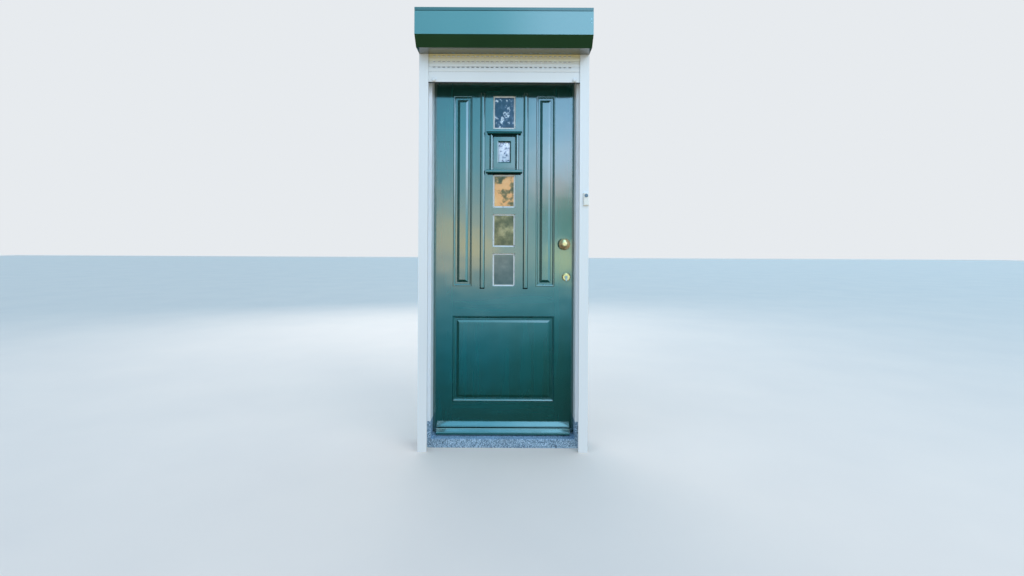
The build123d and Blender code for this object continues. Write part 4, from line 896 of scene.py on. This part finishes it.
skyLook = {
    "seen": (0.80, 0.83, 0.86),
    # Up ramps go by a direction's height from -1, straight down, to 1, straight up. Across ramps go
    # from -1 at the left to 1 at the right, and behind ramps from the camera's side to the back.
    "lightUp": [(-1.0, (0.70, 0.60, 0.38)), (-0.12, (0.68, 0.64, 0.50)), (0.05, (0.62, 0.82, 1.02)),
                (0.4, (0.64, 0.92, 1.24)), (1.0, (0.64, 0.95, 1.34))],
    "lightAcross": [(-1.0, 1.25), (-0.3, 0.95), (0.0, 1.0), (1.0, 1.25)],
    "lightBehind": [(-1.0, 1.0), (0.0, 0.85), (1.0, 0.35)],
    "glossLeft": [(-0.55, (0.0, 0.01, 0.01)), (-0.31, (0.01, 0.06, 0.08)), (-0.19, (0.02, 0.45, 0.70)),
                  (-0.10, (0.30, 1.05, 1.40)), (-0.03, (2.1, 2.2, 1.9)), (0.04, (1.75, 2.1, 1.95)),
                  (0.12, (0.85, 1.72, 2.1)), (0.24, (0.46, 1.55, 2.2)), (0.40, (0.55, 1.6, 2.1)),
                  (1.0, (0.62, 2.0, 3.0))],
    "glossRight": [(-0.55, (0.0, 0.01, 0.01)), (-0.31, (0.005, 0.03, 0.03)), (-0.19, (0.02, 0.24, 0.28)),
                   (-0.10, (0.25, 1.00, 1.35)), (-0.03, (1.0, 1.9, 2.0)), (0.05, (0.8, 1.7, 2.0)),
                   (0.10, (2.0, 2.4, 2.6)), (0.15, (2.4, 3.3, 4.2)), (0.24, (1.3, 2.5, 3.7)),
                   (0.37, (1.2, 2.3, 3.05)), (1.0, (1.2, 2.9, 4.0))],
    "leftToRight": (-0.05, 0.08),  # where the left gloss turns into the right one
    "glossAcross": [(-1.0, 0.05), (-0.45, 0.15), (-0.17, 0.9), (0.0, 1.0), (0.4, 1.1), (1.0, 1.2)],
    # soft tinted spots in the gloss: direction, radius and tint
    "spots": [((0.106, -1.0, 0.050), 0.052, (0.42, 0.60, 0.42)),
              ((0.099, -1.0, -0.034), 0.036, (3.2, 1.9, 0.9)),
              ((0.082, -1.0, 0.092), 0.034, (1.5, 1.05, 0.95)),
              ((-0.064, -1.0, -0.010), 0.030, (1.7, 1.35, 0.8)),
              ((-0.118, -1.0, 0.015), 0.045, (1.35, 1.15, 0.85))],
    "spotFade": (1.3, 0.3),        # in parts of the radius
}


def skyRamp(tree, factor, stops):
    # a ramp over -1..1
    span = addNode(tree, "MapRange", From_Min=-1.0, From_Max=1.0)
    wire(tree, factor, span.inputs["Value"])
    return ramp(tree, span.outputs["Result"], [((place + 1) / 2, value) for place, value in stops])


def smoothStep(tree, value, low, high):
    span = addNode(tree, "MapRange", From_Min=low, From_Max=high)
    span.interpolation_type = "SMOOTHSTEP"
    wire(tree, value, span.inputs["Value"])
    return span.outputs["Result"]


def setWorld():
    # The backdrop is plain; only the light and the gloss see a sky that darkens towards the ground.
    world = bpy.data.worlds.new("studioSky")
    scene.world = world
    world.use_nodes = True
    tree = world.node_tree
    tree.nodes.clear()
    direction = addNode(tree, "TexCoord").outputs["Generated"]
    split = addNode(tree, "SeparateXYZ")
    wire(tree, direction, split.inputs["Vector"])
    across, behind, up = (split.outputs[axis] for axis in "XYZ")

    light = skyRamp(tree, up, skyLook["lightUp"])
    for factor, stops in ((across, skyLook["lightAcross"]), (behind, skyLook["lightBehind"])):
        light = blendColors(tree, 1.0, light, skyRamp(tree, factor, stops), "MULTIPLY")
    left, right = skyRamp(tree, up, skyLook["glossLeft"]), skyRamp(tree, up, skyLook["glossRight"])
    gloss = blendColors(tree, smoothStep(tree, across, *skyLook["leftToRight"]), left, right)
    gloss = blendColors(tree, 1.0, gloss, skyRamp(tree, across, skyLook["glossAcross"]), "MULTIPLY")
    for middle, radius, tint in skyLook["spots"]:
        apart = tree.nodes.new("ShaderNodeVectorMath")
        apart.operation = "DISTANCE"
        wire(tree, direction, apart.inputs[0])
        apart.inputs[1].default_value = Vector(middle).normalized()
        fade = [radius * part for part in skyLook["spotFade"]]
        near = smoothStep(tree, apart.outputs["Value"], *fade)
        gloss = blendColors(tree, near, gloss, blendColors(tree, 1.0, gloss, tint, "MULTIPLY"))

    lit, shine, seen = (addNode(tree, "Background", Strength=1.0) for _ in range(3))
    wire(tree, light, lit.inputs["Color"])
    wire(tree, gloss, shine.inputs["Color"])
    seen.inputs["Color"].default_value = (*skyLook["seen"], 1)
    path = addNode(tree, "LightPath")
    current = lit
    for ray, shade in (("Is Glossy Ray", shine), ("Is Camera Ray", seen)):
        mix = addNode(tree, "MixShader")
        wire(tree, path.outputs[ray], mix.inputs[0])
        wire(tree, current.outputs[0], mix.inputs[1])
        wire(tree, shade.outputs[0], mix.inputs[2])
        current = mix
    wire(tree, current.outputs[0], addNode(tree, "OutputWorld").inputs["Surface"])


softboxes = {
    # place, size, power and color
    "keyLight": ((2.6, -3.4, 4.6), (3.0, 2.4), 62, (1.0, 0.99, 0.97)),
    "fillLight": ((-3.4, -3.6, 2.4), (2.6, 2.6), 9, (0.86, 0.95, 1.0)),
    "backLight": ((-1.6, 5.6, 4.2), (5.0, 3.0), 150, (1.0, 0.98, 0.95)),
}
lightAim = Vector((0, 0, 1.2))


def addSoftbox(name, place, size, power, color):
    data = bpy.data.lights.new(name, "AREA")
    data.shape = "RECTANGLE"
    data.size, data.size_y = size
    data.energy = power
    data.color = color
    lamp = bpy.data.objects.new(name, data)
    scene.collection.objects.link(lamp)
    lamp.location = place
    lamp.rotation_euler = (lightAim - Vector(place)).to_track_quat("-Z", "Y").to_euler()
    lamp.visible_camera = False
    lamp.visible_glossy = False


setCamera()
buildFloor()
setWorld()
for name, look in softboxes.items():
    addSoftbox(name, *look)
scene.view_settings.view_transform = "Standard"
print("studio set")
